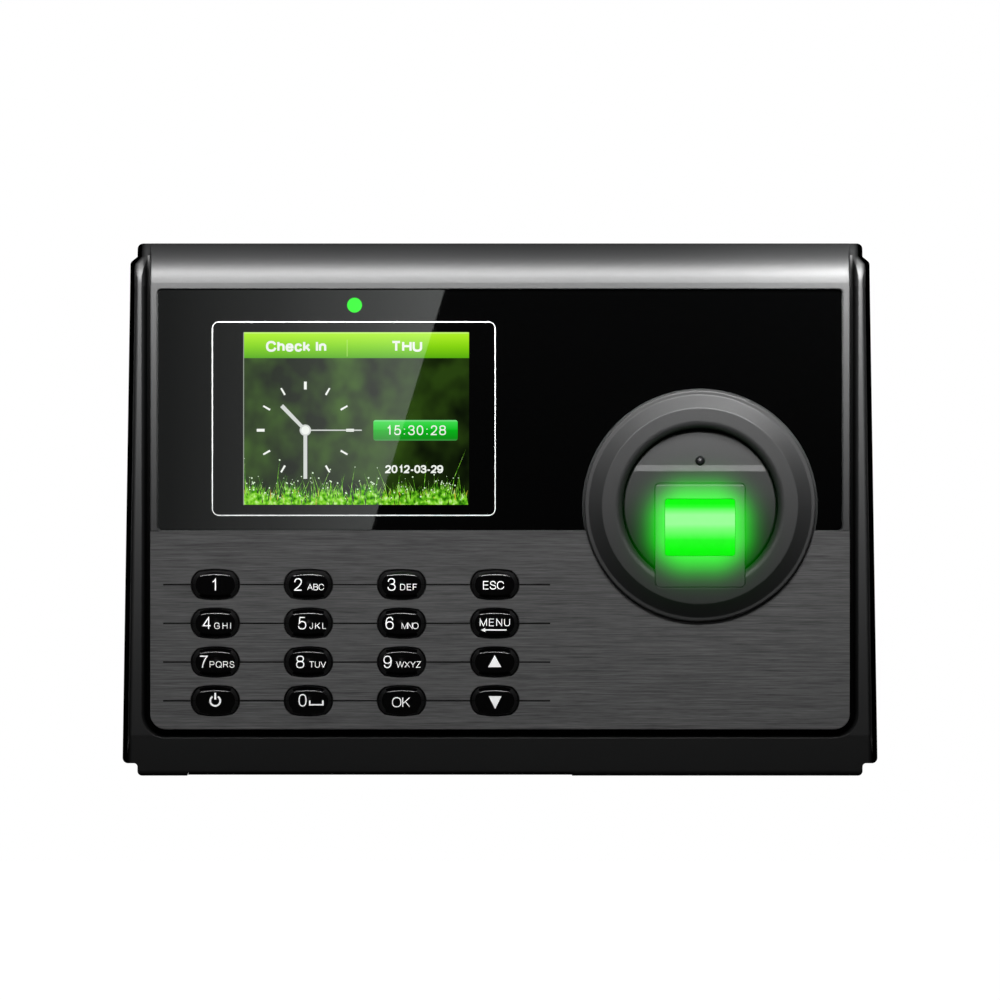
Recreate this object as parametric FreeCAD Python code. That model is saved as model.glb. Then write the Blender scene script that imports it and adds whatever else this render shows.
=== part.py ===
import FreeCAD, Part
import math
import os

# Wall-hung fingerprint scanner terminal, millimetres.
# Origin: centre of the wall plate's four-screw pattern, on the wall face. +X right, +Z up, and the
# terminal's face looks along -Y, so every depth in front of the wall is a negative Y.

# ---- Casing ---------------------------------------------------------------------------------
TOP = 67.95                # top edge of the casing
BOTTOM = -67.95            # bottom edge of the casing
CORE_HALF = 92.5           # half width of the crown and foot
RAIL_TOP_HALF = 94.35      # half width over the side rails at their top
RAIL_LOW_HALF = 96.4       # half width over the side rails at their foot
RAIL_TOP = 64.3
RAIL_LOW = -64.75
RIDGE_IN = 1.5             # from the rail's side in to the corner of its ridge
RIDGE_R = 1.1
SHOULDER_Y = -28.5         # where the rail's side turns in towards the ridge
BACK_Y = -0.6              # back rim of the rear cover
SPLIT_Y = -13.0            # joint between front housing and rear cover
SEAM_W = 0.6
SEAM_DEPTH = 0.45
BASE_Y = -34.5             # front of the rails and foot
FACE_Y = -36.0             # raised central face
ROLL_R = 10.2              # roll over the top front edge
ROLL_Z = TOP - ROLL_R
SLOPE_Z = -57.6            # where the foot starts to lean back
FOOT_Y = -33.2
FACE_HALF = 89.25          # half width of the raised face
FACE_LOW = -56.15
FACE_CORNER_R = 4.0
GROOVE_W = 2.2             # at its mouth
GROOVE_FLOOR_W = 0.75
GROOVE_Y = -32.4
WALL = 2.2
FACE_BACK_Y = -33.2        # inner surface behind the raised face
CAVITY_Y = -31.0           # inner surface behind the rails and foot
CAVITY_HALF = 90.1
CAVITY_TOP = 65.35
CAVITY_LOW = -65.4

# ---- Lower face sheet and display window ------------------------------------------------------
OVERLAY_Y = -35.4
LENS_HALF = 87.5
LENS_TOP = 56.3
LENS_LOW = -5.5
LENS_T = 1.4
MASK_T = 0.2
SEAT_Y = -34.4             # floor of the window's pocket
FIT = 0.1                  # gap around inlaid pieces

# ---- Display --------------------------------------------------------------------------------
LCD_X = -36.7
LCD_Z = 23.15
LCD_VIEW = (57.6, 44.1)    # visible picture
LCD_SIZE = (68.6, 50.0)
LCD_BOARD_Y = -30.3
BOARD_T = 1.6
LAMP_X = -37.1
LAMP_Z = 52.1
LAMP_R = 1.9

# ---- Sensor ---------------------------------------------------------------------------------
RING_X = 51.0
RING_Z = 0.84
RING_R = 29.55
RING_CUT_R = 29.75
RING_TOP_Y = -39.4
RING_BORE_R = 19.85
SPIGOT_R = 23.6
CRADLE_R = 19.25
CRADLE_BACK_Y = -28.9
CRADLE_FLANGE_Y = -30.4
BEZEL_HALF = 11.4
BEZEL_TOP = 5.76
BEZEL_LOW = -20.65
BEZEL_BACK_Y = -36.0
GLASS_HALF = 8.9
GLASS_TOP = 1.8
GLASS_LOW = -12.7
SENSOR_BOARD_Y = -20.0

# ---- Keypad ---------------------------------------------------------------------------------
KEY_X0 = -72.6
KEY_Z0 = -19.2
KEY_PITCH_X = 23.75
KEY_PITCH_Z = 9.87
KEY_NAMES = [
    ["key_1", "key_2", "key_3", "key_esc"],
    ["key_4", "key_5", "key_6", "key_menu"],
    ["key_7", "key_8", "key_9", "key_up"],
    ["key_power", "key_0", "key_ok", "key_down"],
]
KEY_CORNER = (4.2, 3.19)
KEY_HALF = (5.94, 3.62)
KEY_TOP_Y = -37.4
KEY_CROWN_R = 42.0
KEY_BEVEL = 1.0
LINE_X = (-85.9, 12.8)     # engraved line through each row of keys
LINE_W = 0.38
LINE_DEPTH = 0.15
KEY_FLANGE = 0.9
KEY_FLANGE_Y = -33.15
KEY_FLANGE_T = 1.0
MAT_Y = -30.6
KEY_BOARD_Y = -29.9

# ---- Main board and ports -------------------------------------------------------------------
MAIN_Y = -14.5             # front surface of the main board
MAIN_X = (-87.5, 14.5)
MAIN_Z = (-57.5, 30.0)
BAY_X = (-77.0, 15.6)
BAY_Y = (-29.5, -14.3)
BAY_ROOF = -60.75
BAY_WALL_TOP = -58.55
LIP_X = (-79.8, 18.4)
LIP_H = 0.9
# name: centre x, width in x, depth in y, height in z
PORTS = {
    "dc_jack": (-69.0, 9.0, 11.0, 14.0),
    "terminal_header": (-48.5, 25.4, 8.5, 10.0),
    "usb_port": (-20.5, 13.2, 5.9, 14.0),
    "ethernet_jack": (2.0, 16.0, 13.4, 18.0),
}
RESET_X = -32.0
RESET_Y = -17.4

# ---- Rear cover and wall plate --------------------------------------------------------------
RECESS_HALF = 62.0
RECESS_Z = (-54.0, 47.5)
RECESS_Y = -4.8
PLATE_T = 1.5
PLATE_SIZE = (120.0, 92.0)
SCREW_SPACING = (84.0, 60.0)
SCREW_HOLE_R = 2.25
HOOK_X = 53.0
HOOK_W = 8.0
HOOK_Z = (12.3, -21.7)     # underside of the upper and lower hooks
HOOK_LIP = 5.0
SLOT_W = 10.0
SLOT_H = 9.0
TONGUE_HALF = 9.0
FLANGE_Z = -65.75
FLANGE_Y = -11.0
LOCK_Y = -8.0
COVER_SCREWS = [(sx * 84.5, z) for sx in (-1, 1) for z in (-62.0, 60.0)]
SPEAKER_X = 77.5
SPEAKER_Z = 15.0
TAMPER = (-30.0, -30.0)

# ---- Small screws: one size holds every board --------------------------------------------------
SCREW_R = 1.0
SCREW_L = 4.4
SCREW_HEAD_R = 2.0
SCREW_HEAD_H = 1.2
PILOT_R = 1.05
MAIN_SCREWS = [(x, z) for x in (-84.0, 11.0) for z in (-52.0, 26.0)]
LCD_SCREWS = [(x, z) for x in (-75.2, 1.8) for z in (-3.5, 53.0)]
KEY_SCREWS = [(x, z) for x in (-60.7, -13.3) for z in (-24.1, -43.8)]
CRADLE_SCREWS = [(RING_X + x, RING_Z + z) for x in (-24, 24) for z in (-24, 24)]
SENSOR_SCREWS = [(RING_X + x, RING_Z + z) for x in (-17, 17) for z in (-14, 14)]


# ---- Geometry helpers -----------------------------------------------------------------------
def vec(x, y, z):
    return FreeCAD.Vector(x, y, z)


def box(x, y, z):
    """Box from (low, high) pairs along each axis."""
    return Part.makeBox(x[1] - x[0], y[1] - y[0], z[1] - z[0], vec(x[0], y[0], z[0]))


def post(radius, x, z, y0, y1):
    """Cylinder along Y between y0 and y1."""
    return Part.makeCylinder(radius, abs(y1 - y0), vec(x, min(y0, y1), z), vec(0, 1, 0))


def fuse_all(shapes):
    return shapes[0].multiFuse(shapes[1:]).removeSplitter()


def cut_all(shape, tools):
    return shape.cut(Part.makeCompound(tools))


def rounded_wire(points, place):
    """Closed wire through (u, v) or (u, v, radius) corners; place() maps (u, v) to space."""
    corners = [(p[0], p[1], p[2] if len(p) > 2 else 0.0) for p in points]
    ends = []
    for i, (u, v, radius) in enumerate(corners):
        here = vec(u, v, 0)
        if not radius:
            ends.append((here, None, here))
            continue
        back = vec(*corners[i - 1][:2], 0).sub(here).normalize()
        ahead = vec(*corners[(i + 1) % len(corners)][:2], 0).sub(here).normalize()
        half = back.getAngle(ahead) / 2
        reach = radius / math.tan(half)
        middle = (back + ahead).normalize() * (radius / math.sin(half) - radius)
        ends.append((here + back * reach, here + middle, here + ahead * reach))
    edges = []
    for i, (start, middle, end) in enumerate(ends):
        if middle is not None:
            edges.append(Part.Arc(*[place(p.x, p.y) for p in (start, middle, end)]).toShape())
        following = ends[(i + 1) % len(ends)][0]
        if following.distanceToPoint(end) > 1e-6:
            edges.append(Part.makeLine(place(end.x, end.y), place(following.x, following.y)))
    return Part.Wire(edges)


def prism_xz(points, y0, y1):
    """Outline in (x, z), extruded along Y."""
    wire = rounded_wire(points, lambda u, v: vec(u, y0, v))
    return Part.Face(wire).extrude(vec(0, y1 - y0, 0))


def prism_yz(points, x0, x1):
    """Outline in (y, z), extruded along X."""
    wire = rounded_wire(points, lambda u, v: vec(x0, u, v))
    return Part.Face(wire).extrude(vec(x1 - x0, 0, 0))


def plate(x, z, radius, y0, y1):
    """Rounded rectangle in XZ, extruded along Y."""
    corners = [(x[0], z[0], radius), (x[1], z[0], radius), (x[1], z[1], radius), (x[0], z[1], radius)]
    return prism_xz(corners, y0, y1)


def turned(points, x, z):
    """Outline in (radius, y), turned about an axis along Y."""
    wire = rounded_wire(points, lambda u, v: vec(u, v, 0))
    solid = Part.Face(wire).revolve(vec(0, 0, 0), vec(0, 1, 0), 360)
    return solid.translated(vec(x, 0, z))


def span(centre, size):
    return (centre - size / 2, centre + size / 2)


def edges_where(shape, test):
    """Edges for which test(points along the edge) is true."""
    chosen = []
    for edge in shape.Edges:
        if test(edge.discretize(5)):
            chosen.append(edge)
    return chosen


def ribbon(points, place, thickness, width, radius):
    """Flat cable of a given thickness along (u, v) points with rounded bends."""
    half = thickness / 2
    left, right = [], []
    for i, (u, v) in enumerate(points):
        here = vec(u, v, 0)
        before = vec(*points[max(i - 1, 0)], 0)
        after = vec(*points[min(i + 1, len(points) - 1)], 0)
        first = here.sub(before) if i else after.sub(here)
        second = after.sub(here) if i < len(points) - 1 else first
        first.normalize()
        second.normalize()
        normal = vec(-(first.y + second.y), first.x + second.x, 0).normalize()
        reach = half / max(normal.dot(vec(-first.y, first.x, 0)), 0.3)
        bend = 0 < i < len(points) - 1
        turn = first.x * second.y - first.y * second.x
        outer = radius + half if bend else 0
        inner = radius - half if bend else 0
        a, b = here + normal * reach, here - normal * reach
        left.append((a.x, a.y, inner if turn > 0 else outer))
        right.append((b.x, b.y, outer if turn > 0 else inner))
    wire = rounded_wire(left + right[::-1], place)
    return Part.Face(wire).extrude(width)


def screw(x, z, head_y, into):
    """Small pan-head screw; its head stands at head_y and its shank runs towards -Y."""
    shank = post(SCREW_R, x, z, head_y, head_y + into * SCREW_L)
    head = post(SCREW_HEAD_R, x, z, head_y, head_y - into * SCREW_HEAD_H)
    slot = box(span(x, 2.4), span(head_y - into * SCREW_HEAD_H, 0.9), span(z, 0.5))
    cross = box(span(x, 0.5), span(head_y - into * SCREW_HEAD_H, 0.9), span(z, 2.4))
    return cut_all(head.fuse(shank).removeSplitter(), [slot, cross])


def boss(x, z, radius, front_y, back_y):
    """Hollow boss standing on the inside of the front wall."""
    body = post(radius, x, z, front_y, back_y)
    return body, post(PILOT_R, x, z, back_y - SCREW_L + BOARD_T - 0.3, back_y)


# ---- Casing envelope ------------------------------------------------------------------------
def base_profile():
    """Side view of the casing at rail level: rolled top, leaning foot, rounded back."""
    return [
        (BACK_Y, BOTTOM, 2.5), (BACK_Y, TOP, 4.0), (BASE_Y, TOP, ROLL_R),
        (BASE_Y, SLOPE_Z), (FOOT_Y, BOTTOM, 1.6),
    ]


def rail_section(half, z):
    """Half-casing section at one height, with a steep shoulder between its side and its ridge."""
    points = [
        (0, BACK_Y), (half, BACK_Y, 3.5), (half, SHOULDER_Y, 6), (half - RIDGE_IN, BASE_Y, RIDGE_R), (0, BASE_Y),
    ]
    return rounded_wire(points, lambda u, v: vec(u, v, z))


def rail_block(side):
    """One side rail, wider towards its foot."""
    grow = (RAIL_LOW_HALF - RAIL_TOP_HALF) / (RAIL_TOP - RAIL_LOW)
    low, high = BOTTOM, TOP
    wires = [rail_section(RAIL_TOP_HALF + grow * (RAIL_TOP - z), z) for z in (low, high)]
    loft = Part.makeLoft(wires, True, True)
    outline = prism_xz([
        (80, RAIL_LOW - 1.1), (CORE_HALF, RAIL_LOW - 1.1), (CORE_HALF, RAIL_LOW, 0.9),
        (RAIL_LOW_HALF, RAIL_LOW, 1.4), (RAIL_TOP_HALF, RAIL_TOP - 1.3, 1.1),
        (CORE_HALF - 0.2, RAIL_TOP + 0.3, 0.5), (80, RAIL_TOP + 0.3),
    ], -40, 0)
    rail = loft.common(outline)
    if side < 0:
        rail = rail.mirror(vec(0, 0, 0), vec(1, 0, 0))
    return rail


def envelope():
    """The closed casing without its raised face."""
    corners = []
    for side, end, radius in ((-1, BOTTOM, 1.2), (1, BOTTOM, 1.2), (1, TOP, 1.4), (-1, TOP, 1.4)):
        corners.append((side * CORE_HALF, end, radius))
    core = prism_xz(corners, -40, 0)
    whole = fuse_all([core, rail_block(1), rail_block(-1)])
    return whole.common(prism_yz(base_profile(), -100, 100))


def face_outline(grow, top):
    """Lower outline of the raised face, grown outwards by grow and open-ended at the top."""
    half, low, radius = FACE_HALF + grow, FACE_LOW - grow, FACE_CORNER_R + grow
    return [(-half, low, radius), (half, low, radius), (half, top), (-half, top)]


def raised_face():
    """Central face with an eased edge: a flat slab below, a turned roll above."""
    ease = 0.35
    slab = prism_xz(face_outline(0, ROLL_Z), FACE_Y, SPLIT_Y)
    front = edges_where(
        slab, lambda ps: all(abs(p.y - FACE_Y) < 1e-6 for p in ps) and ps[2].z < ROLL_Z - 1)
    slab = slab.makeFillet(ease, front)
    section = [
        (-FACE_HALF, 0), (FACE_HALF, 0), (FACE_HALF, ROLL_R, ease), (-FACE_HALF, ROLL_R, ease),
    ]
    axis_y = FACE_Y + ROLL_R
    wire = rounded_wire(section, lambda u, v: vec(u, axis_y - v, ROLL_Z))
    roll = Part.Face(wire).revolve(vec(0, axis_y, ROLL_Z), vec(-1, 0, 0), 90)
    return [slab, roll]


def groove():
    """Channel round the raised face, sloped on its outside, running out into the roll at its top."""
    end = TOP - 2.6
    mouths = [(GROOVE_FLOOR_W, GROOVE_Y), (GROOVE_W, BASE_Y)]
    wires = [
        rounded_wire(face_outline(grow, end), lambda u, v, y=y: vec(u, y, v)) for grow, y in mouths
    ]
    wide = fuse_all([
        Part.makeLoft(wires, True, True), prism_xz(face_outline(GROOVE_W, end), FACE_Y - 5, BASE_Y),
        prism_xz(face_outline(GROOVE_FLOOR_W, end), GROOVE_Y, FACE_Y + 12),
    ])
    inner = prism_xz(face_outline(0, TOP + 5), FACE_Y - 6, FACE_Y + 13)
    depth = prism_yz([
        (FACE_Y - 5, BOTTOM), (GROOVE_Y, BOTTOM), (GROOVE_Y, 54.0, 30), (-31.6, end), (FACE_Y - 5, end),
    ], -100, 100)
    return wide.cut(inner).common(depth)


# ---- Keypad outlines ------------------------------------------------------------------------
def key_places():
    for row, names in enumerate(KEY_NAMES):
        for column, name in enumerate(names):
            yield name, KEY_X0 + column * KEY_PITCH_X, KEY_Z0 - row * KEY_PITCH_Z


def key_outline(x, z, y, grow):
    """Barrel-shaped face: four arcs, grown outwards by grow."""
    cx, cz = KEY_CORNER
    hx, hz = KEY_HALF
    spots = [(cx, cz), (0, hz), (-cx, cz), (-hx, 0), (-cx, -cz), (0, -hz), (cx, -cz), (hx, 0), (cx, cz)]
    points = [vec(x + u, y, z + v) for u, v in spots]
    arcs = [Part.Arc(*points[i:i + 3]).toShape() for i in range(0, 8, 2)]
    face = Part.Face(Part.Wire(arcs))
    return face.makeOffset2D(grow) if grow else face


def key_prism(x, z, grow, y0, y1):
    return key_outline(x, z, y0, grow).extrude(vec(0, y1 - y0, 0))


# ---- Front ----------------------------------------------------------------------------------
def ring_hole(radius, y0, y1):
    return post(radius, RING_X, RING_Z, y0, y1)


def lens_block(gap, y0, y1):
    return plate((-LENS_HALF + gap, LENS_HALF - gap), (LENS_LOW + gap, LENS_TOP - gap), 1.1, y0, y1)


def port_block(name, grow, y_back=MAIN_Y):
    x, width, depth, height = PORTS[name]
    depths = (y_back - depth - grow, y_back + grow)
    return box(span(x, width + 2 * grow), depths, (BAY_ROOF, BAY_ROOF + height))


def front_housing():
    front_space = box((-100, 100), (-50, SPLIT_Y), (-80, 80))
    body = fuse_all([envelope().common(front_space)] + raised_face()).cut(groove())

    cavity = prism_yz([
        (SPLIT_Y, CAVITY_LOW), (SPLIT_Y, CAVITY_TOP),
        (CAVITY_Y, CAVITY_TOP, 6.5), (CAVITY_Y, CAVITY_LOW, 1.0),
    ], -CAVITY_HALF, CAVITY_HALF)
    behind_face = plate((-87, 87), (-54, 55.6), 3, FACE_BACK_Y, CAVITY_Y)
    hollows = [cavity, behind_face]
    for side in (-1, 1):
        rail = [(side * 90, -62, 0), (side * 94, -62, 0.8), (side * 92, 61, 0.8), (side * 90, 61, 0)]
        hollows.append(prism_xz(rail, -30, SPLIT_Y))
    body = cut_all(body, hollows)

    additions = [box((BAY_X[0] - 2, BAY_X[1] + 2), (-33, SPLIT_Y), (BOTTOM + LIP_H, BAY_WALL_TOP))]
    pilots = []
    for x, z in COVER_SCREWS:
        additions.append(post(3.6, x, z, CAVITY_Y - 0.5, SPLIT_Y))
        pilots.append(post(1.5, x, z, -24, SPLIT_Y))
    groups = [
        (MAIN_SCREWS, 2.6, MAIN_Y), (LCD_SCREWS, 2.3, LCD_BOARD_Y),
        (KEY_SCREWS, 2.3, KEY_BOARD_Y), (CRADLE_SCREWS, 3.0, CRADLE_FLANGE_Y),
    ]
    for places, radius, back_y in groups:
        for x, z in places:
            pillar, pilot = boss(x, z, radius, FACE_BACK_Y - 0.4, back_y)
            additions.append(pillar)
            pilots.append(pilot)
    body = fuse_all([body] + additions)

    cuts = list(pilots)
    cuts.append(lens_block(0, FACE_Y - 5, SEAT_Y))
    cuts.append(ring_hole(RING_CUT_R, FACE_Y - 5, SEAT_Y))
    cuts.append(ring_hole(SPIGOT_R + 0.2, FACE_Y - 5, CAVITY_Y))
    rim_x = (-FACE_HALF - 0.2, FACE_HALF + 0.2)
    cuts.append(box(rim_x, (FACE_Y - 5, OVERLAY_Y), (FACE_LOW - 0.5, LENS_LOW)))
    display_x, display_z = span(LCD_X, LCD_SIZE[0] + 2.4), span(LCD_Z, LCD_SIZE[1] + 2.4)
    cuts.append(plate(display_x, display_z, 1, SEAT_Y - 1, CAVITY_Y))
    cuts.append(post(LAMP_R + 0.1, LAMP_X, LAMP_Z, SEAT_Y - 1, CAVITY_Y))
    for _, x, z in key_places():
        cuts.append(key_prism(x, z, 0.3, FACE_Y - 5, CAVITY_Y))
    cuts.append(box(BAY_X, BAY_Y, (BOTTOM - 1, BAY_ROOF)))
    cuts.append(plate(LIP_X, (BOTTOM - 8, BOTTOM + LIP_H), 0.8, -45, SPLIT_Y))
    for name in PORTS:
        cuts.append(port_block(name, 0.15).translated(vec(0, 0, -1)))
    cuts.append(Part.makeCylinder(1.4, 4, vec(RESET_X, RESET_Y, BAY_ROOF - 1), vec(0, 0, 1)))
    return cut_all(body, cuts)


def brushed_overlay():
    """Thin brushed sheet over the lower face, with bevelled key holes."""
    top = LENS_LOW - FIT
    sheet = prism_xz(face_outline(0, top), FACE_Y, OVERLAY_Y)
    rim = edges_where(sheet, lambda ps: all(abs(p.y - FACE_Y) < 1e-6 for p in ps) and ps[2].z < top - 1)
    sheet = sheet.makeFillet(0.25, rim)
    holes = [ring_hole(RING_CUT_R, FACE_Y - 5, OVERLAY_Y + 1)]
    for _, x, z in key_places():
        holes.append(key_prism(x, z, 0.18, FACE_Y - 1, OVERLAY_Y + 1))
        wide = key_outline(x, z, FACE_Y, 0.48).Wires[0]
        narrow = key_outline(x, z, FACE_Y + 0.3, 0.18).Wires[0]
        holes.append(Part.makeLoft([wide, narrow], True, True))
    for row in range(len(KEY_NAMES)):
        z = KEY_Z0 - row * KEY_PITCH_Z
        holes.append(box(LINE_X, (FACE_Y - 1, FACE_Y + LINE_DEPTH), span(z, LINE_W)))
    return cut_all(sheet, holes)


def display_lens():
    """Clear window, cut away round the sensor ring, with its cusps and front rim eased."""
    lens = lens_block(FIT / 2, FACE_Y, FACE_Y + LENS_T).cut(ring_hole(RING_CUT_R, -50, -20))

    def at_cusp(points):
        across = math.hypot(points[2].x - RING_X, points[2].z - RING_Z)
        along_y = abs(points[0].y - points[-1].y) > 1
        return along_y and abs(across - RING_CUT_R) < 0.05

    lens = lens.makeFillet(0.6, edges_where(lens, at_cusp))
    rim = edges_where(lens, lambda ps: all(abs(p.y - FACE_Y) < 1e-6 for p in ps))
    return lens.makeChamfer(0.15, rim)


def lens_mask():
    film = lens_block(0.3, FACE_Y + LENS_T, FACE_Y + LENS_T + MASK_T)
    film = film.cut(ring_hole(RING_CUT_R + 0.3, -50, -20))
    view = plate(span(LCD_X, LCD_VIEW[0]), span(LCD_Z, LCD_VIEW[1]), 0.2, -50, -20)
    return cut_all(film, [view, post(LAMP_R, LAMP_X, LAMP_Z, -50, -20)])


# ---- Display stack --------------------------------------------------------------------------
def lcd_slab(grow, y0, y1):
    return box(span(LCD_X, LCD_SIZE[0] + 2 * grow), (y0, y1), span(LCD_Z, LCD_SIZE[1] + 2 * grow))


def lcd_frame():
    outer = lcd_slab(0.8, -34.2, LCD_BOARD_Y)
    window = lcd_slab(-2.0, -40, LCD_BOARD_Y - 1)
    seat = lcd_slab(0.05, -40, LCD_BOARD_Y - 0.6)
    tails = box(span(LCD_X, 30), (-33, -29), span(LCD_Z - LCD_SIZE[1] / 2, 1.0))
    return cut_all(outer, [seat, window, tails])


def circuit_board(x, z, y, holes, hole_r=1.3):
    board = plate(x, z, 1.5, y, y + BOARD_T)
    return cut_all(board, [post(hole_r, hx, hz, y - 1, y + BOARD_T + 1) for hx, hz in holes])


def status_light():
    pipe = post(LAMP_R, LAMP_X, LAMP_Z, SEAT_Y, LCD_BOARD_Y)
    return pipe.makeChamfer(0.2, [pipe.Edges[0]])


# ---- Sensor ---------------------------------------------------------------------------------
def sensor_ring():
    """Stepped ring: flange, bevel, flat land and a rounded lip, left square below the bezel."""
    ring = turned([
        (RING_BORE_R, CRADLE_FLANGE_Y), (RING_BORE_R, RING_TOP_Y, 1.9), (25.0, RING_TOP_Y, 0.4),
        (28.4, -37.2, 0.3), (RING_R, -37.2, 0.4), (RING_R, SEAT_Y), (SPIGOT_R, SEAT_Y),
        (SPIGOT_R, CRADLE_FLANGE_Y),
    ], RING_X, RING_Z)
    land = box(
        (RING_X - 8, RING_X + 8), (RING_TOP_Y, RING_TOP_Y + 2.2),
        (RING_Z - 22.5, RING_Z + BEZEL_LOW))
    return fuse_all([ring, land]).cut(bezel_space(0.12))


def bezel_space(gap):
    """Room for the sensor bezel where it crosses the ring and the cradle."""
    return plate(
        (RING_X - BEZEL_HALF - gap, RING_X + BEZEL_HALF + gap),
        (RING_Z + BEZEL_LOW - gap, RING_Z + BEZEL_TOP + gap), 1.2 + gap, -50, BEZEL_BACK_Y)


def bezel_face_y(z):
    """Depth of the bezel's sloping face at a height above the ring's centre."""
    top, low = (BEZEL_TOP - 0.55, -38.05), (BEZEL_LOW, RING_TOP_Y)
    return top[1] + (low[1] - top[1]) * (top[0] - z) / (top[0] - low[0])


def finger_cradle():
    """Sloped finger rest: deep tip pocket, a bevelled step, then the sensor plane."""
    column = post(CRADLE_R, RING_X, RING_Z, -45, CRADLE_FLANGE_Y)
    slope = [
        (CRADLE_FLANGE_Y, RING_Z - 22), (CRADLE_FLANGE_Y, RING_Z + 22), (-35.9, RING_Z + 22),
        (-36.8, RING_Z + 10.45, 0.3), (-37.2, RING_Z + 8.9, 0.5), (-37.4, RING_Z - 22),
    ]
    column = column.common(prism_yz(slope, 0, 100))
    flange = plate(span(RING_X, 56), span(RING_Z, 56), 6, CRADLE_FLANGE_Y, CRADLE_BACK_Y)
    legs = [post(2.4, x, z, CRADLE_BACK_Y, SENSOR_BOARD_Y) for x, z in SENSOR_SCREWS]
    body = fuse_all([column, flange] + legs)
    cuts = [bezel_space(0.12)]
    cuts.append(box((RING_X - 10.2, RING_X + 10.2), (-50, -20), (RING_Z - 14.2, RING_Z + 3.3)))
    cuts.append(post(0.95, RING_X, RING_Z + 11.5, -45, -20))
    cuts.append(post(1.2, RING_X, RING_Z + 11.5, -45, -35.2))
    cuts += [post(1.3, x, z, -35, -20) for x, z in CRADLE_SCREWS]
    cuts += [post(PILOT_R, x, z, SENSOR_BOARD_Y - 4, SENSOR_BOARD_Y) for x, z in SENSOR_SCREWS]
    return cut_all(body, cuts)


def sensor_bezel():
    side = prism_yz([
        (BEZEL_BACK_Y, RING_Z + BEZEL_TOP), (BEZEL_BACK_Y, RING_Z + BEZEL_LOW),
        (RING_TOP_Y, RING_Z + BEZEL_LOW), (bezel_face_y(BEZEL_TOP - 0.55), RING_Z + BEZEL_TOP - 0.55),
        (-37.6, RING_Z + BEZEL_TOP),
    ], RING_X - BEZEL_HALF, RING_X + BEZEL_HALF)
    side = side.common(bezel_space(0))
    window = plate(
        (RING_X - GLASS_HALF - 0.06, RING_X + GLASS_HALF + 0.06),
        (RING_Z + GLASS_LOW - 0.06, RING_Z + GLASS_TOP + 0.06), 0.8, -50, -20)
    return side.cut(window)


def sensor_glass():
    sink = 0.12
    side = prism_yz([
        (-36.9, RING_Z + GLASS_TOP), (-36.9, RING_Z + GLASS_LOW),
        (bezel_face_y(GLASS_LOW) + sink, RING_Z + GLASS_LOW),
        (bezel_face_y(GLASS_TOP) + sink, RING_Z + GLASS_TOP),
    ], RING_X - GLASS_HALF, RING_X + GLASS_HALF)
    width = (RING_X - GLASS_HALF, RING_X + GLASS_HALF)
    outline = plate(width, (RING_Z + GLASS_LOW, RING_Z + GLASS_TOP), 0.75, -50, -20)
    return side.common(outline)


def sensor_block():
    tip = box((RING_X - 8.7, RING_X + 8.7), (-36.9, -35.9), (RING_Z - 12.5, RING_Z + 1.6))
    body = box((RING_X - 9.9, RING_X + 9.9), (-35.9, SENSOR_BOARD_Y), (RING_Z - 13.9, RING_Z + 3.0))
    return fuse_all([tip, body])


def sensor_dome():
    x, z = RING_X, RING_Z + 11.5
    head = post(1.12, x, z, -36.5, -35.2)
    front_half = box((x - 2, x + 2), (-38, -36.5), (z - 2, z + 2))
    cap = Part.makeSphere(1.12, vec(x, -36.5, z)).common(front_half)
    return fuse_all([head, cap, post(0.85, x, z, -35.2, CRADLE_BACK_Y)])


# ---- Keypad ---------------------------------------------------------------------------------
def keycap(x, z):
    """Crowned cap through the face, with a retaining flange behind it."""
    cap = key_prism(x, z, 0, -39, KEY_FLANGE_Y)
    cap = cap.common(Part.makeSphere(KEY_CROWN_R, vec(x, KEY_TOP_Y + KEY_CROWN_R, z)))
    rim = edges_where(cap, lambda ps: all(p.y < -36.5 for p in ps))
    cap = cap.makeChamfer(KEY_BEVEL, rim)
    ridge = edges_where(cap, lambda ps: all(p.y < -37.1 for p in ps))
    cap = cap.makeFillet(0.3, ridge)
    flange = key_prism(x, z, KEY_FLANGE, KEY_FLANGE_Y, KEY_FLANGE_Y + KEY_FLANGE_T)
    return fuse_all([cap, flange])


def keypad_mat():
    sheet = plate((-79.8, 5.8), (-54.6, -13.4), 2, MAT_Y, KEY_BOARD_Y)
    domes = []
    height = MAT_Y - (KEY_FLANGE_Y + KEY_FLANGE_T)
    for _, x, z in key_places():
        domes.append(Part.makeCone(3.1, 1.9, height, vec(x, MAT_Y, z), vec(0, -1, 0)))
    mat = fuse_all([sheet] + domes)
    return cut_all(mat, [post(2.6, x, z, -40, -20) for x, z in KEY_SCREWS])


# ---- Main board -----------------------------------------------------------------------------
def board_chips():
    front = [(-40, 12, 14, 14, 1.4), (-55, 16, 9, 11, 1.0), (-55, 2, 9, 11, 1.0), (-20, 2, 7, 7, 0.9)]
    chips = [box(span(x, w), (MAIN_Y - t, MAIN_Y), span(z, h)) for x, z, w, h, t in front]
    return Part.makeCompound(chips)


def capacitors():
    cans = [post(4, x, z, MAIN_Y - 8.5, MAIN_Y) for x, z in ((-6, -12), (4, -12), (-6, 8))]
    rims = [edges_where(can, lambda ps: all(p.y < MAIN_Y - 8.4 for p in ps)) for can in cans]
    return Part.makeCompound([can.makeFillet(0.5, rim) for can, rim in zip(cans, rims)])


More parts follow.
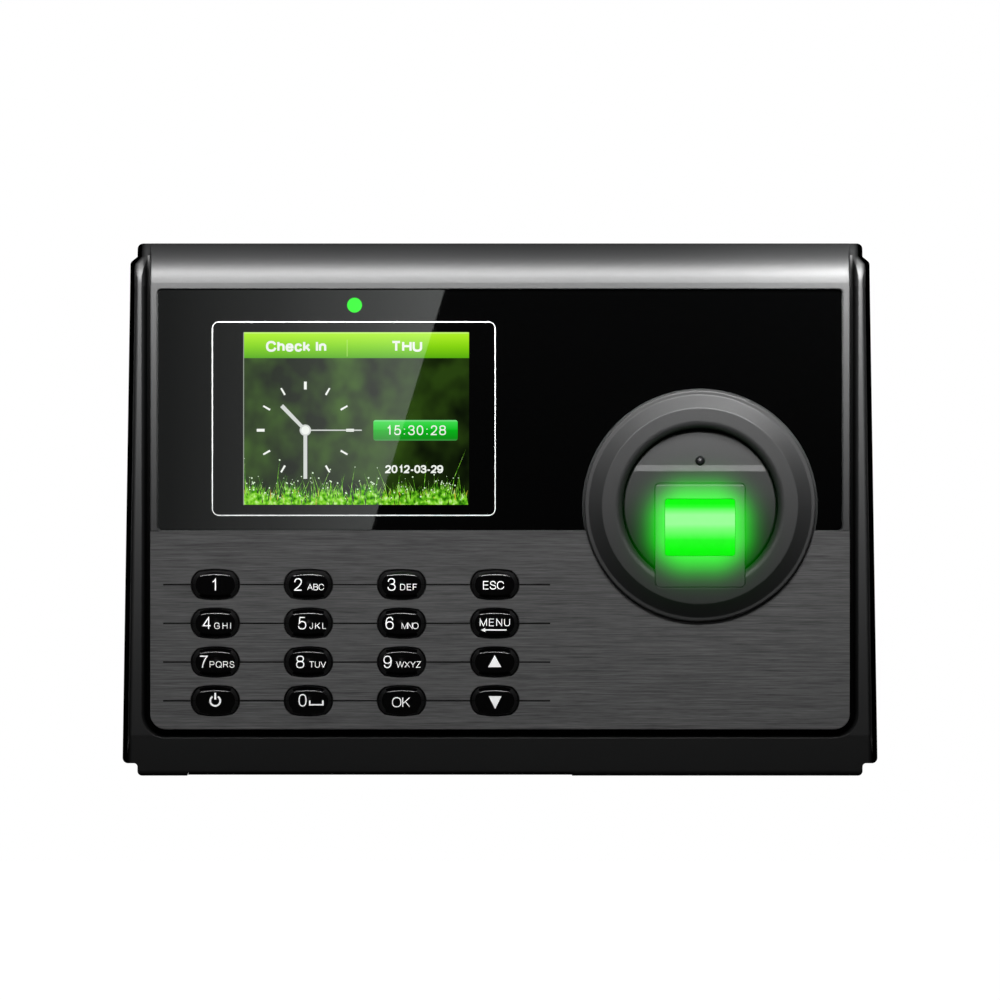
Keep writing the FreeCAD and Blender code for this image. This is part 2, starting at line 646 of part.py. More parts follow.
def flex_connectors():
    places = ((LCD_X, -9.5, 22), (-70, 1, 16))
    main = [box(span(x, w), (MAIN_Y - 2, MAIN_Y), span(z, 4)) for x, z, w in places]
    main.append(box(span(8, 4), (MAIN_Y - 2, MAIN_Y), span(3, 10)))
    others = [
        box(span(LCD_X, 22), (LCD_BOARD_Y + BOARD_T, LCD_BOARD_Y + BOARD_T + 2), span(10, 4)),
        box(span(-70, 16), (KEY_BOARD_Y + BOARD_T, KEY_BOARD_Y + BOARD_T + 2), span(-17.5, 4)),
        box(span(34, 4), (SENSOR_BOARD_Y + BOARD_T, SENSOR_BOARD_Y + BOARD_T + 2), span(3, 10)),
    ]
    return Part.makeCompound(main + others)


def lcd_flex():
    route = [(-27.7, 8), (-27.7, 2), (-15.5, -1), (-15.5, -7.5)]
    x0 = LCD_X - 9
    return ribbon(route, lambda u, v: vec(x0, u, v), 0.3, vec(18, 0, 0), 2.0)


def keypad_flex():
    route = [(-27.3, -15.5), (-27.3, -10), (-15.5, -6), (-15.5, -1)]
    return ribbon(route, lambda u, v: vec(-76, u, v), 0.3, vec(12, 0, 0), 2.0)


def sensor_cable():
    route = [(32, -17.4), (25, -17.4), (19, -15.5), (10, -15.5)]
    return ribbon(route, lambda u, v: vec(u, v, -1), 0.6, vec(0, 0, 8), 2.0)


def coin_cell_holder():
    x, z = -72.0, -5.0
    y = MAIN_Y + BOARD_T
    ring = post(11.6, x, z, y, y + 3.6).cut(post(10.15, x, z, y + 0.5, y + 5))
    mouth = box(span(x, 14), (y + 0.5, y + 5), (z + 4, z + 14))
    return ring.cut(mouth)


def coin_cell():
    y = MAIN_Y + BOARD_T + 0.5
    cell = post(10.0, -72.0, -5.0, y, y + 3.2)
    return cell.makeFillet(0.4, edges_where(cell, lambda ps: ps[0].y == ps[2].y))


def buzzer():
    y = MAIN_Y + BOARD_T
    can = post(5.0, -20, 15, y, y + 5.2)
    return can.cut(post(1.0, -20, 15, y + 4, y + 6))


def tamper_switch():
    x, z = TAMPER
    y = MAIN_Y + BOARD_T
    body = box(span(x, 10), (y, y + 4), span(z, 8))
    return body.cut(post(1.5, x, z, y + 0.5, y + 5))


def tamper_plunger():
    x, z = TAMPER
    stem = post(1.4, x, z, -10.6, -PLATE_T - 0.05)
    return stem.makeFillet(0.5, edges_where(stem, lambda ps: all(p.y > -1.6 for p in ps)))


def reset_switch():
    body = box(span(RESET_X, 6), (RESET_Y - 2.9, MAIN_Y), (-57.6, -53.6))
    return body.cut(Part.makeCylinder(1.25, 2.0, vec(RESET_X, RESET_Y, -57.6), vec(0, 0, 1)))


def reset_button():
    return Part.makeCylinder(1.1, 4.1, vec(RESET_X, RESET_Y, -60.3), vec(0, 0, 1))


# ---- Ports ----------------------------------------------------------------------------------
def ethernet_jack():
    x, _, depth, _ = PORTS["ethernet_jack"]
    body = port_block("ethernet_jack", 0)
    mouth = box(span(x, 12.0), (MAIN_Y - depth + 2.6, MAIN_Y - 2.0), (BAY_ROOF - 1, BAY_ROOF + 13.5))
    clip = box(span(x, 6.2), (MAIN_Y - depth + 1.0, MAIN_Y - 4.0), (BAY_ROOF - 1, BAY_ROOF + 10))
    return cut_all(body, [mouth, clip])


def usb_port():
    x, width, depth, height = PORTS["usb_port"]
    body = port_block("usb_port", 0)
    y_mid = MAIN_Y - depth / 2
    hollow = box(span(x, width - 0.8), span(y_mid, depth - 0.8), (BAY_ROOF - 1, BAY_ROOF + height - 1.5))
    tongue_z = (BAY_ROOF + 0.8, BAY_ROOF + height - 1.2)
    tongue = box(span(x, width - 2.0), (y_mid + 0.1, y_mid + 1.9), tongue_z)
    return fuse_all([body.cut(hollow), tongue])


def dc_jack():
    x, _, depth, _ = PORTS["dc_jack"]
    y_mid = MAIN_Y - depth / 2
    bore = Part.makeCylinder(3.15, 10, vec(x, y_mid, BAY_ROOF - 1), vec(0, 0, 1))
    pin = Part.makeCylinder(1.05, 9.6, vec(x, y_mid, BAY_ROOF + 0.8), vec(0, 0, 1))
    return fuse_all([port_block("dc_jack", 0).cut(bore), pin])


def terminal_header():
    x, _, depth, _ = PORTS["terminal_header"]
    pitch = 3.5
    hole_y = span(MAIN_Y - depth / 2 - 0.6, 2.6)
    holes = []
    for i in range(7):
        hole_x = x + (i - 3) * pitch
        holes.append(box(span(hole_x, 2.4), hole_y, (BAY_ROOF - 1, BAY_ROOF + 7)))
    return cut_all(port_block("terminal_header", 0), holes)


# ---- Back -----------------------------------------------------------------------------------
def seam():
    """Shallow shadow line round the casing where the two halves meet."""
    section = envelope().slice(vec(0, 1, 0), SPLIT_Y + SEAM_W / 2)[0]
    section.translate(vec(0, -SEAM_W / 2, 0))
    inner = Part.Face(section).makeOffset2D(-SEAM_DEPTH).extrude(vec(0, SEAM_W, 0))
    return box((-100, 100), (SPLIT_Y, SPLIT_Y + SEAM_W), (-80, 80)).cut(inner)


def rear_cover():
    back_space = box((-100, 100), (SPLIT_Y, 5), (-80, 80))
    body = envelope().common(back_space).cut(seam())
    inner_back = BACK_Y - WALL
    cavity = prism_yz([
        (SPLIT_Y - 1, CAVITY_LOW), (SPLIT_Y - 1, CAVITY_TOP),
        (inner_back, CAVITY_TOP, 2.5), (inner_back, CAVITY_LOW, 1.5),
    ], -CAVITY_HALF, CAVITY_HALF)
    hollows = [cavity]
    for side in (-1, 1):
        rail = [(side * 89, -62, 0), (side * 94, -62, 0.8), (side * 92, 61, 0.8), (side * 89, 61, 0)]
        hollows.append(prism_xz(rail, SPLIT_Y - 1, -4.5))
    body = cut_all(body, hollows)

    floor_back = RECESS_Y - WALL
    tray_x = (-RECESS_HALF - WALL, RECESS_HALF + WALL)
    tray_z = (RECESS_Z[0] - WALL, RECESS_Z[1] + WALL)
    additions = [
        plate(tray_x, tray_z, 4, floor_back, BACK_Y - 0.5),
        box((-13.2, 13.2), (floor_back, BACK_Y - 0.5), (CAVITY_LOW - 1, RECESS_Z[0])),
        box((-12.2, 12.2), (SPLIT_Y, BACK_Y - 0.5), (CAVITY_LOW - 1, -61.5)),
        Part.makeCylinder(3.8, 8.5, vec(0, LOCK_Y, -63.5), vec(0, 0, 1)),
    ]
    cuts = [
        plate((-RECESS_HALF, RECESS_HALF), RECESS_Z, 3, RECESS_Y, 1),
        box((-11, 11), (RECESS_Y, 1), (BOTTOM - 1, -50)),
        box((-10, 10), (FLANGE_Y - 0.8, 1), (BOTTOM - 1, -63.75)),
        Part.makeCylinder(1.6, 8, vec(0, LOCK_Y, -64), vec(0, 0, 1)),
        post(1.8, TAMPER[0], TAMPER[1], -20, 1),
    ]
    for x, z in COVER_SCREWS:
        additions.append(post(4.0, x, z, SPLIT_Y, BACK_Y - 1.0))
        cuts.append(post(1.7, x, z, -20, 1))
        cuts.append(post(3.2, x, z, -9, 1))
    for side in (-1, 1):
        for z in HOOK_Z:
            top = z + PLATE_T + 0.2
            cuts.append(box(span(side * HOOK_X, SLOT_W), (-20, 1), (top - SLOT_H, top)))
    for i in range(7):
        z = 24 + i * 3.8
        cuts.append(plate(span(-77, 17), span(z, 1.8), 0.85, -10, 1))
    cuts.append(post(1.0, SPEAKER_X, SPEAKER_Z, -3.2, 1))
    for radius, count in ((3.2, 6), (6.4, 12), (9.4, 18)):
        for i in range(count):
            angle = 2 * math.pi * i / count
            x = SPEAKER_X + radius * math.cos(angle)
            z = SPEAKER_Z + radius * math.sin(angle)
            cuts.append(post(0.85, x, z, -3.2, 1))
    return cut_all(fuse_all([body] + additions), cuts)


def speaker():
    y = BACK_Y - WALL
    return turned([
        (0, y - 5.6), (5.5, y - 5.6, 0.4), (5.5, y - 3.4), (11.6, y - 2.0, 0.6),
        (11.6, y), (10.4, y), (10.4, y - 1.4), (0, y - 1.4),
    ], SPEAKER_X, SPEAKER_Z)


def wall_plate():
    """Stamped steel plate: four screw holes, cable window, four hooks and a locking tongue."""
    half_x, half_z = PLATE_SIZE[0] / 2, PLATE_SIZE[1] / 2
    sheet = plate((-half_x, half_x), (-half_z, half_z), 5, -PLATE_T, 0)
    tongue = prism_yz([
        (0, -40), (0, FLANGE_Z, 2.2), (FLANGE_Y, FLANGE_Z), (FLANGE_Y, FLANGE_Z + PLATE_T),
        (-PLATE_T, FLANGE_Z + PLATE_T, 0.7), (-PLATE_T, -40),
    ], -TONGUE_HALF, TONGUE_HALF)
    parts = [sheet, tongue]
    windows = [plate((-25, 25), (-18, 18), 4, -10, 5)]
    for side in (-1, 1):
        for z in HOOK_Z:
            hook = prism_yz([
                (0, z), (-8.8, z, 2.0), (-8.8, z + PLATE_T + HOOK_LIP, 0.5),
                (-7.3, z + PLATE_T + HOOK_LIP, 0.5), (-7.3, z + PLATE_T, 0.5), (0, z + PLATE_T),
            ], side * HOOK_X - HOOK_W / 2, side * HOOK_X + HOOK_W / 2)
            parts.append(hook)
            windows.append(plate(span(side * HOOK_X, HOOK_W + 1), (z - 13, z), 0.8, -PLATE_T - 0.1, 5))
    solid = fuse_all(parts)
    for x in span(0, SCREW_SPACING[0]):
        for z in span(0, SCREW_SPACING[1]):
            windows.append(post(SCREW_HOLE_R, x, z, -PLATE_T - 1, 1))
    windows.append(Part.makeCylinder(1.75, 4, vec(0, LOCK_Y, FLANGE_Z - 1), vec(0, 0, 1)))
    return cut_all(solid, windows)


def lock_screw():
    head = Part.makeCylinder(2.8, 1.8, vec(0, LOCK_Y, FLANGE_Z - 1.8), vec(0, 0, 1))
    head = head.makeFillet(0.5, edges_where(head, lambda ps: all(p.z < FLANGE_Z - 1.7 for p in ps)))
    shank = Part.makeCylinder(1.5, 8.5, vec(0, LOCK_Y, FLANGE_Z), vec(0, 0, 1))
    socket = Part.makeCylinder(1.1, 1.2, vec(0, LOCK_Y, FLANGE_Z - 1.9), vec(0, 0, 1))
    return fuse_all([head, shank]).cut(socket)


def cover_screws():
    screws = []
    for x, z in COVER_SCREWS:
        head = post(2.9, x, z, -9, -7)
        head = head.makeFillet(0.6, edges_where(head, lambda ps: all(p.y > -7.1 for p in ps)))
        shank = post(1.45, x, z, -22, -9)
        slots = [box(span(x, u), (-7.9, -6.5), span(z, w)) for u, w in ((3.2, 0.7), (0.7, 3.2))]
        screws.append(cut_all(fuse_all([head, shank]), slots))
    return Part.makeCompound(screws)


def board_screws():
    screws = []
    groups = [
        (MAIN_SCREWS, MAIN_Y + BOARD_T), (LCD_SCREWS, LCD_BOARD_Y + BOARD_T),
        (KEY_SCREWS, KEY_BOARD_Y + BOARD_T), (CRADLE_SCREWS, CRADLE_BACK_Y),
        (SENSOR_SCREWS, SENSOR_BOARD_Y + BOARD_T),
    ]
    for places, y in groups:
        screws += [screw(x, z, y, -1) for x, z in places]
    return Part.makeCompound(screws)


# ---- Build ----------------------------------------------------------------------------------
def build():
    slab_x, slab_z = span(LCD_X, LCD_SIZE[0]), span(LCD_Z, LCD_SIZE[1])
    parts = {
        "front_housing": front_housing(),
        "brushed_overlay": brushed_overlay(),
        "display_lens": display_lens(),
        "lens_mask": lens_mask(),
        "lcd_panel": box(slab_x, (-34.1, -32.8), slab_z),
        "lcd_backlight": box(slab_x, (-32.8, LCD_BOARD_Y - 0.6), slab_z),
        "lcd_frame": lcd_frame(),
        "display_board": circuit_board((-78, 4.6), (-6, 55.4), LCD_BOARD_Y, LCD_SCREWS),
        "status_light": status_light(),
        "sensor_ring": sensor_ring(),
        "finger_cradle": finger_cradle(),
        "sensor_bezel": sensor_bezel(),
        "sensor_glass": sensor_glass(),
        "sensor_block": sensor_block(),
        "sensor_board": circuit_board(span(RING_X, 40), span(RING_Z, 34), SENSOR_BOARD_Y, SENSOR_SCREWS),
        "sensor_dome": sensor_dome(),
        "keypad_mat": keypad_mat(),
        "keypad_board": circuit_board((-80.5, 6.5), (-55.0, -13.0), KEY_BOARD_Y, KEY_SCREWS),
        "main_board": circuit_board(MAIN_X, MAIN_Z, MAIN_Y, MAIN_SCREWS),
        "board_chips": board_chips(),
        "capacitors": capacitors(),
        "flex_connectors": flex_connectors(),
        "lcd_flex": lcd_flex(),
        "keypad_flex": keypad_flex(),
        "sensor_cable": sensor_cable(),
        "coin_cell_holder": coin_cell_holder(),
        "coin_cell": coin_cell(),
        "buzzer": buzzer(),
        "tamper_switch": tamper_switch(),
        "tamper_plunger": tamper_plunger(),
        "reset_switch": reset_switch(),
        "reset_button": reset_button(),
        "ethernet_jack": ethernet_jack(),
        "usb_port": usb_port(),
        "dc_jack": dc_jack(),
        "terminal_header": terminal_header(),
        "speaker": speaker(),
        "rear_cover": rear_cover(),
        "rating_label": plate(span(-77, 20), span(-12, 34), 1, BACK_Y, BACK_Y + 0.15),
        "wall_plate": wall_plate(),
        "lock_screw": lock_screw(),
        "cover_screws": cover_screws(),
        "board_screws": board_screws(),
    }
    for name, x, z in key_places():
        parts[name] = keycap(x, z)
    return parts


os.makedirs("parts", exist_ok=True)
for old in os.listdir("parts"):
    os.remove(os.path.join("parts", old))
for node, shape in build().items():
    print(node, len(shape.Solids), shape.isValid(), round(shape.Volume))
    shape.exportStep("parts/" + node + ".step")
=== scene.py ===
import math
import random

import bmesh
import bpy
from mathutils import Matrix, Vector


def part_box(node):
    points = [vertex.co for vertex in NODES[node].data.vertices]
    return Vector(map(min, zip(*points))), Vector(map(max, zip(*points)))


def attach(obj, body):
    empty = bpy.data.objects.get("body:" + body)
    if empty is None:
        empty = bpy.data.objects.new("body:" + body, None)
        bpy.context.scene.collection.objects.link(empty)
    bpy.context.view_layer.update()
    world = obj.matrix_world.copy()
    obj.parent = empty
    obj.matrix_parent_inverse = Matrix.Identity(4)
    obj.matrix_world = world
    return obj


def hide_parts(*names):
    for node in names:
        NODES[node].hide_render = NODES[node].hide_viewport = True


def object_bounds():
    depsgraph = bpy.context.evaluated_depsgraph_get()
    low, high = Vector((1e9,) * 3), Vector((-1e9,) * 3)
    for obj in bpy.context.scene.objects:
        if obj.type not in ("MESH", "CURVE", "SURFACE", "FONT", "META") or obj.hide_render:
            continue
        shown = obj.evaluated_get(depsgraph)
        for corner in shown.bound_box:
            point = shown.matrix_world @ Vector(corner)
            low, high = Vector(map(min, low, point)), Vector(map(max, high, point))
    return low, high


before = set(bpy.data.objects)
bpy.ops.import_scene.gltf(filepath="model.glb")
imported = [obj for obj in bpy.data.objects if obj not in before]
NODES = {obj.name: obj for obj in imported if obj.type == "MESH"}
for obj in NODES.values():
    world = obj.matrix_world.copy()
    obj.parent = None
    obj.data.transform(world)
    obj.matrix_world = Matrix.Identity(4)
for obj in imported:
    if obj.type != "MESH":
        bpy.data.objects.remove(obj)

CAD_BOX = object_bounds()
MM = 0.001
RNG = random.Random(7)


# ---- Places read from the frame -------------------------------------------------------------
def centre_of(node):
    low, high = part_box(node)
    return (low + high) / 2


FACE_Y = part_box("display_lens")[0].y            # front of the window and of the raised face
PRINT_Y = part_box("lens_mask")[0].y              # front of the printed film behind the window
PICTURE_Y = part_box("lcd_panel")[0].y            # front of the LCD cell
SCREEN = centre_of("lcd_panel")
PICTURE_W, PICTURE_H = 57.6 * MM, 44.1 * MM     # lit area of the LCD
PICTURE_X0 = SCREEN.x - PICTURE_W / 2
PICTURE_Z0 = SCREEN.z - PICTURE_H / 2
GLASS_LOW, GLASS_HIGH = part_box("sensor_glass")

LENS, SENSOR = 800.0, 36.0                      # a long lens: almost no perspective
SHOWN_WIDTH = 0.255                             # width of the face plane that fills the frame
CAMERA_DISTANCE = SHOWN_WIDTH * LENS / SENSOR
CAMERA_Z = 2.4 * MM
GLOSS = 0.004                                   # roughness of the polished window


# ---- Node trees -----------------------------------------------------------------------------
def plug(tree, socket, value):
    """Links an output socket, or sets a plain value."""
    if isinstance(value, bpy.types.NodeSocket):
        tree.links.new(value, socket)
    elif value is not None:
        socket.default_value = value


class Shader:
    """A small helper that builds one material's node tree."""

    def __init__(self, name):
        self.material = bpy.data.materials.new(name)
        self.material.use_nodes = True
        self.tree = self.material.node_tree
        self.bsdf = self.tree.nodes["Principled BSDF"]
        self.output = self.tree.nodes["Material Output"]

    def node(self, kind, inputs=None, out=0, **settings):
        node = self.tree.nodes.new(kind)
        for key, value in settings.items():
            setattr(node, key, value)
        for key, value in (inputs or {}).items():
            plug(self.tree, node.inputs[key], value)
        return node.outputs[out]

    def math(self, operation, *values):
        return self.node("ShaderNodeMath", dict(enumerate(values)), operation=operation)

    def place(self, scale=(1, 1, 1)):
        """Coordinates in the part's own frame, in metres, scaled."""
        coords = self.node("ShaderNodeTexCoord", out=3)
        return self.node("ShaderNodeMapping", {"Vector": coords, "Scale": scale})

    def axes(self):
        """The x, y and z of a point in the part's own frame."""
        split = self.tree.nodes.new("ShaderNodeSeparateXYZ")
        self.tree.links.new(self.node("ShaderNodeTexCoord", out=3), split.inputs[0])
        return split.outputs

    def noise(self, scale, detail, stretch=(1, 1, 1), roughness=0.5):
        return self.node("ShaderNodeTexNoise", {
            "Vector": self.place(stretch), "Scale": scale, "Detail": detail, "Roughness": roughness})

    def remap(self, value, low, high, to_low, to_high):
        return self.node("ShaderNodeMapRange", {0: value, 1: low, 2: high, 3: to_low, 4: to_high})

    def mix(self, factor, a, b, blend="MIX"):
        return self.node("ShaderNodeMix", {0: factor, 6: a, 7: b}, out=2, data_type="RGBA", blend_type=blend)

    def ramp(self, value, stops):
        node = self.tree.nodes.new("ShaderNodeValToRGB")
        elements = node.color_ramp.elements
        while len(elements) < len(stops):
            elements.new(0.5)
        for element, (position, colour) in zip(elements, stops):
            element.position = position
            element.color = colour
        self.tree.links.new(value, node.inputs[0])
        return node.outputs[0]

    def soft_edges(self, radius):
        """Normals that round sharp CAD edges."""
        return self.node("ShaderNodeBevel", {"Radius": radius}, samples=4)

    def flat_normal(self):
        """The face's own normal, for polished flats."""
        return self.node("ShaderNodeNewGeometry", out=3)

    def from_behind(self):
        """1 on the back of a face."""
        return self.node("ShaderNodeNewGeometry", out=6)

    def bump(self, height, distance, strength=1.0, normal=None):
        return self.node("ShaderNodeBump", {
            "Height": height, "Distance": distance, "Strength": strength, "Normal": normal})

    def set(self, **inputs):
        for key, value in inputs.items():
            plug(self.tree, self.bsdf.inputs[key.replace("_", " ")], value)
        return self.material

    def glow_only(self, colour, strength):
        """Something shining under the window's gloss."""
        return self.set(Base_Color=BLACK, Roughness=GLOSS, Emission_Color=colour, Emission_Strength=strength)


def rgb(r, g, b):
    return (r, g, b, 1.0)


def shaded(colour, share):
    """A colour made darker or lighter."""
    return rgb(*[c * share for c in colour])


def neutral(value):
    return rgb(value, value, value)


BLACK, WHITE = neutral(0), neutral(1)


# ---- Materials ------------------------------------------------------------------------------
def window_distance(shader):
    """How far a point is outside the sensor glass, its corners well rounded, in metres."""
    x, _, z = shader.axes()
    centre, half = (GLASS_LOW + GLASS_HIGH) / 2, (GLASS_HIGH - GLASS_LOW) / 2
    rounding = 6.0 * MM
    outside = []
    for value, middle, reach in ((x, centre.x, half.x - rounding), (z, centre.z, half.z - rounding)):
        off = shader.math("ABSOLUTE", shader.math("SUBTRACT", value, middle))
        past = shader.math("MAXIMUM", shader.math("SUBTRACT", off, reach), 0.0)
        outside.append(shader.math("POWER", past, 2.0))
    return shader.math("SUBTRACT", shader.math("SQRT", shader.math("ADD", *outside)), rounding)


# Where painted shade turns the housing from grey to black, as places in the part's own frame.
RAIL_FOOT_Z, RAIL_TOP_Z = -67.95 * MM, 58 * MM  # the side rails' crests lean in between these heights
CREST_FOOT_X, CREST_TOP_X = 93.85 * MM, 91.95 * MM
CROWN_ENDS_Z = (62.6 * MM, 64.6 * MM)           # between these the painted black comes in by CROWN_INSET
CROWN_INSET = 1.7 * MM
FLANK_FADE = (0.05 * MM, 1.25 * MM)             # painted shade fades the grey out this far past the crest
BACK_FADE_Y = (-24 * MM, -18 * MM)              # behind the rails the painted shade ends and the sides are grey again
GROOVE_X = 90 * MM                              # middle of the groove inside each rail
GROOVE_FADE_Y = (-34.45 * MM, -33.2 * MM)       # painted shade darkens it with depth beside the face
GROOVE_FADE_X = (0.4 * MM, 1.2 * MM)            # and towards its middle in the rolled top
GROOVE_END_Z = (60.5 * MM, 66 * MM)             # where it runs out
# darkest share of the painted shade down in the groove
GROOVE_PAINTED_SHADE = 0.12
FOOT_Z, ROLL_Z = -58.4 * MM, 57 * MM            # top of the lower band, foot of the rolled top


def housing_painted_shade(shader):
    """Painted shade on the rails' flanks, on the crown's ends and down in the groove."""
    x, y, z = shader.axes()
    side = shader.math("ABSOLUTE", x)
    crest = shader.remap(z, RAIL_FOOT_Z, RAIL_TOP_Z, CREST_FOOT_X, CREST_TOP_X)
    crown = shader.remap(z, *CROWN_ENDS_Z, 0.0, CROWN_INSET)
    past = shader.math("ADD", shader.math("SUBTRACT", side, crest), crown)
    flank = shader.remap(past, *FLANK_FADE, 1.0, 0.0)
    back = shader.remap(y, *BACK_FADE_Y, 0.0, 1.0)
    depth = shader.remap(y, *GROOVE_FADE_Y, 1.0, GROOVE_PAINTED_SHADE)
    foot = shader.math("LESS_THAN", z, FOOT_Z)
    roll = shader.math("GREATER_THAN", z, ROLL_Z)
    channel = shader.math("ABSOLUTE", shader.math("SUBTRACT", side, GROOVE_X))
    across = shader.remap(channel, *GROOVE_FADE_X, GROOVE_PAINTED_SHADE, 1.0)
    upper = shader.math("MAXIMUM", across, shader.remap(z, *GROOVE_END_Z, 0.0, 1.0))
    lower = shader.math("MAXIMUM", depth, shader.math("MAXIMUM", foot, back))
    painted_groove_shade = shader.mix(roll, lower, upper)
    return shader.math("MULTIPLY", shader.math("MAXIMUM", flank, back), painted_groove_shade)


def cradle_painted_shade(shader):
    """Painted shade on the finger cradle, darker towards its lower end."""
    lower_end, upper_end = -14 * MM, 4 * MM
    return shader.remap(shader.axes()[2], lower_end, upper_end, 0.3, 0.86)


PAINTED_GLOW_REACH, PAINTED_GLOW_FADE = 2.7 * MM, 1.55 * MM     # painted green glow round the sensor glass: half strength this far out, and how fast it falls


def moulded(name, colour=(0.010, 0.0102, 0.0104), roughness=0.5, painted_glow=False, painted_shade=None):
    """Fine-textured injection-moulded plastic; painted shade can darken it and a painted green glow round the
    sensor glass can light it.
    """
    s = Shader(name)
    pores = s.noise(2600, 3.0)
    cloud = s.noise(28, 2.0)
    height = s.bump(pores, 0.03 * MM, 0.35, s.soft_edges(0.3 * MM))
    tint = s.mix(cloud, shaded(colour, 0.88), shaded(colour, 1.12))
    rough = s.remap(pores, 0.3, 0.7, roughness - 0.03, roughness + 0.04)
    s.set(Base_Color=tint, Roughness=rough, Normal=height)
    if painted_shade:
        # Painted shade: mixes the colour towards black and dims the reflection with it.
        share = painted_shade(s)
        sheen = s.math("MULTIPLY", s.math("POWER", share, 1.5), 0.5)
        s.set(Base_Color=s.mix(share, BLACK, tint), Specular_IOR_Level=sheen)
    if painted_glow:
        # Painted light: the plastic round the sensor glass glows green, fading with distance from the glass.
        steps = s.math("DIVIDE", s.math("SUBTRACT", window_distance(s), PAINTED_GLOW_REACH), PAINTED_GLOW_FADE)
        fade = s.math("DIVIDE", 1.0, s.math("ADD", s.math("EXPONENT", steps), 1.0))
        s.set(Emission_Color=rgb(0.008, 1.0, 0.008), Emission_Strength=fade)
    return s.material


def brushed_sheet():
    """Dark anodised sheet with long horizontal brush marks, painted light that brightens it towards its foot,
    and painted shade in its engraved lines.
    """
    s = Shader("brushed_sheet")
    long_marks = s.noise(1.0, 4.0, (34, 1, 1700), 0.75)
    fine_marks = s.noise(1.0, 3.0, (120, 1, 4200), 0.7)
    marks = s.math("ADD", s.math("MULTIPLY", long_marks, 0.55), s.math("MULTIPLY", fine_marks, 0.45))
    sheet = s.ramp(marks, [(0.36, rgb(0.034, 0.034, 0.0345)), (0.66, rgb(0.115, 0.115, 0.1155))])
    low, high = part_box("brushed_overlay")
    engraving = 0.09 * MM
    # Painted light: the sheet is brighter towards its foot and darker towards its top.
    painted_light_ramp = s.mix(upright(s, low.z, high.z), neutral(1.85), neutral(0.72))
    sheet = s.mix(1.0, sheet, painted_light_ramp, "MULTIPLY")
    # Painted shade: the engraved lines, deeper than the sheet's front, go near black.
    painted_groove_shade = s.math("GREATER_THAN", s.axes()[1], low.y + engraving)
    normal = s.bump(marks, 0.02 * MM, 0.2, s.soft_edges(0.1 * MM))
    return s.set(
        Base_Color=s.mix(painted_groove_shade, sheet, neutral(0.004)), Metallic=0.2, Specular_IOR_Level=0.25,
        Roughness=s.remap(marks, 0.3, 0.7, 0.5, 0.66), Anisotropic=0.5, Normal=normal)


def clear_sheet():
    """Clear acrylic. The print and display bonded under it carry its straight-on gloss."""
    s = Shader("clear_acrylic")
    clear = s.node("ShaderNodeBsdfTransparent", {"Color": rgb(0.97, 0.98, 0.975)})
    gloss = s.node("ShaderNodeBsdfGlossy", {"Roughness": GLOSS, "Normal": s.flat_normal()})
    fresnel = s.node("ShaderNodeFresnel", {"IOR": 1.49, "Normal": s.flat_normal()})
    extra = s.math("MAXIMUM", s.math("SUBTRACT", fresnel, 0.04), 0.0)
    amount = s.math("MULTIPLY", extra, s.math("SUBTRACT", 1.0, s.from_behind()))
    mixed = s.node("ShaderNodeMixShader", {0: amount, 1: clear, 2: gloss})
    s.tree.links.new(mixed, s.output.inputs[0])
    return s.material


def gloss_plastic(name, colour, roughness, coat=0.4):
    """Polished plastic with a faint ripple and finger smudges."""
    s = Shader(name)
    ripple = s.noise(260, 2.0)
    smudge = s.noise(90, 4.0)
    normal = s.bump(ripple, 0.02 * MM, 0.12, s.soft_edges(0.12 * MM))
    return s.set(
        Base_Color=rgb(*colour), Roughness=s.remap(smudge, 0.35, 0.7, roughness * 0.8, roughness * 1.5),
        Coat_Weight=coat, Coat_Roughness=0.05, Normal=normal)


def metal(name, colour, roughness, stretch=(1, 1, 1), scale=900):
    """Plated metal with fine marks."""
    s = Shader(name)
    marks = s.noise(scale, 3.0, stretch)
    normal = s.bump(marks, 0.02 * MM, 0.2, s.soft_edges(0.12 * MM))
    tint = s.mix(marks, shaded(colour, 0.8), rgb(*colour))
    rough = s.remap(marks, 0.3, 0.7, roughness * 0.8, roughness * 1.25)
    return s.set(Base_Color=tint, Metallic=1.0, Roughness=rough, Normal=normal)


def circuit():
    """Green solder mask with fine copper tracks under it."""
    s = Shader("solder_mask")
    cells = s.node("ShaderNodeTexVoronoi", {"Vector": s.place(), "Scale": 420.0}, feature="DISTANCE_TO_EDGE")
    waves = {"Vector": s.place(), "Scale": 210.0, "Distortion": 3.0, "Detail": 1.0}
    lines = s.node("ShaderNodeTexWave", waves, out=1)
    track = s.math("MULTIPLY", s.math("GREATER_THAN", lines, 0.62), s.math("GREATER_THAN", cells, 0.05))
    colour = s.mix(track, rgb(0.006, 0.075, 0.028), rgb(0.018, 0.15, 0.05))
    return s.set(Base_Color=colour, Roughness=0.38, Normal=s.bump(track, 0.03 * MM, 0.5))


def silicone():
    """Milky grey rubber."""
    s = Shader("silicone_mat")
    speck = s.noise(1500, 2.0)
    return s.set(
        Base_Color=s.mix(speck, rgb(0.22, 0.225, 0.23), rgb(0.3, 0.305, 0.31)), Roughness=0.62,
        Subsurface_Weight=0.15, Subsurface_Radius=(0.001, 0.001, 0.001), Normal=s.bump(speck, 0.02 * MM, 0.3))


def painted_plate():
    """Powder-coated steel."""
    s = Shader("powder_coat")
    orange_peel = s.noise(1300, 2.5)
    normal = s.bump(orange_peel, 0.05 * MM, 0.5, s.soft_edges(0.25 * MM))
    return s.set(
        Base_Color=s.mix(s.noise(60, 2.0), rgb(0.045, 0.046, 0.048), rgb(0.06, 0.061, 0.063)),
        Metallic=0.2, Roughness=s.remap(orange_peel, 0.3, 0.7, 0.42, 0.56), Normal=normal)


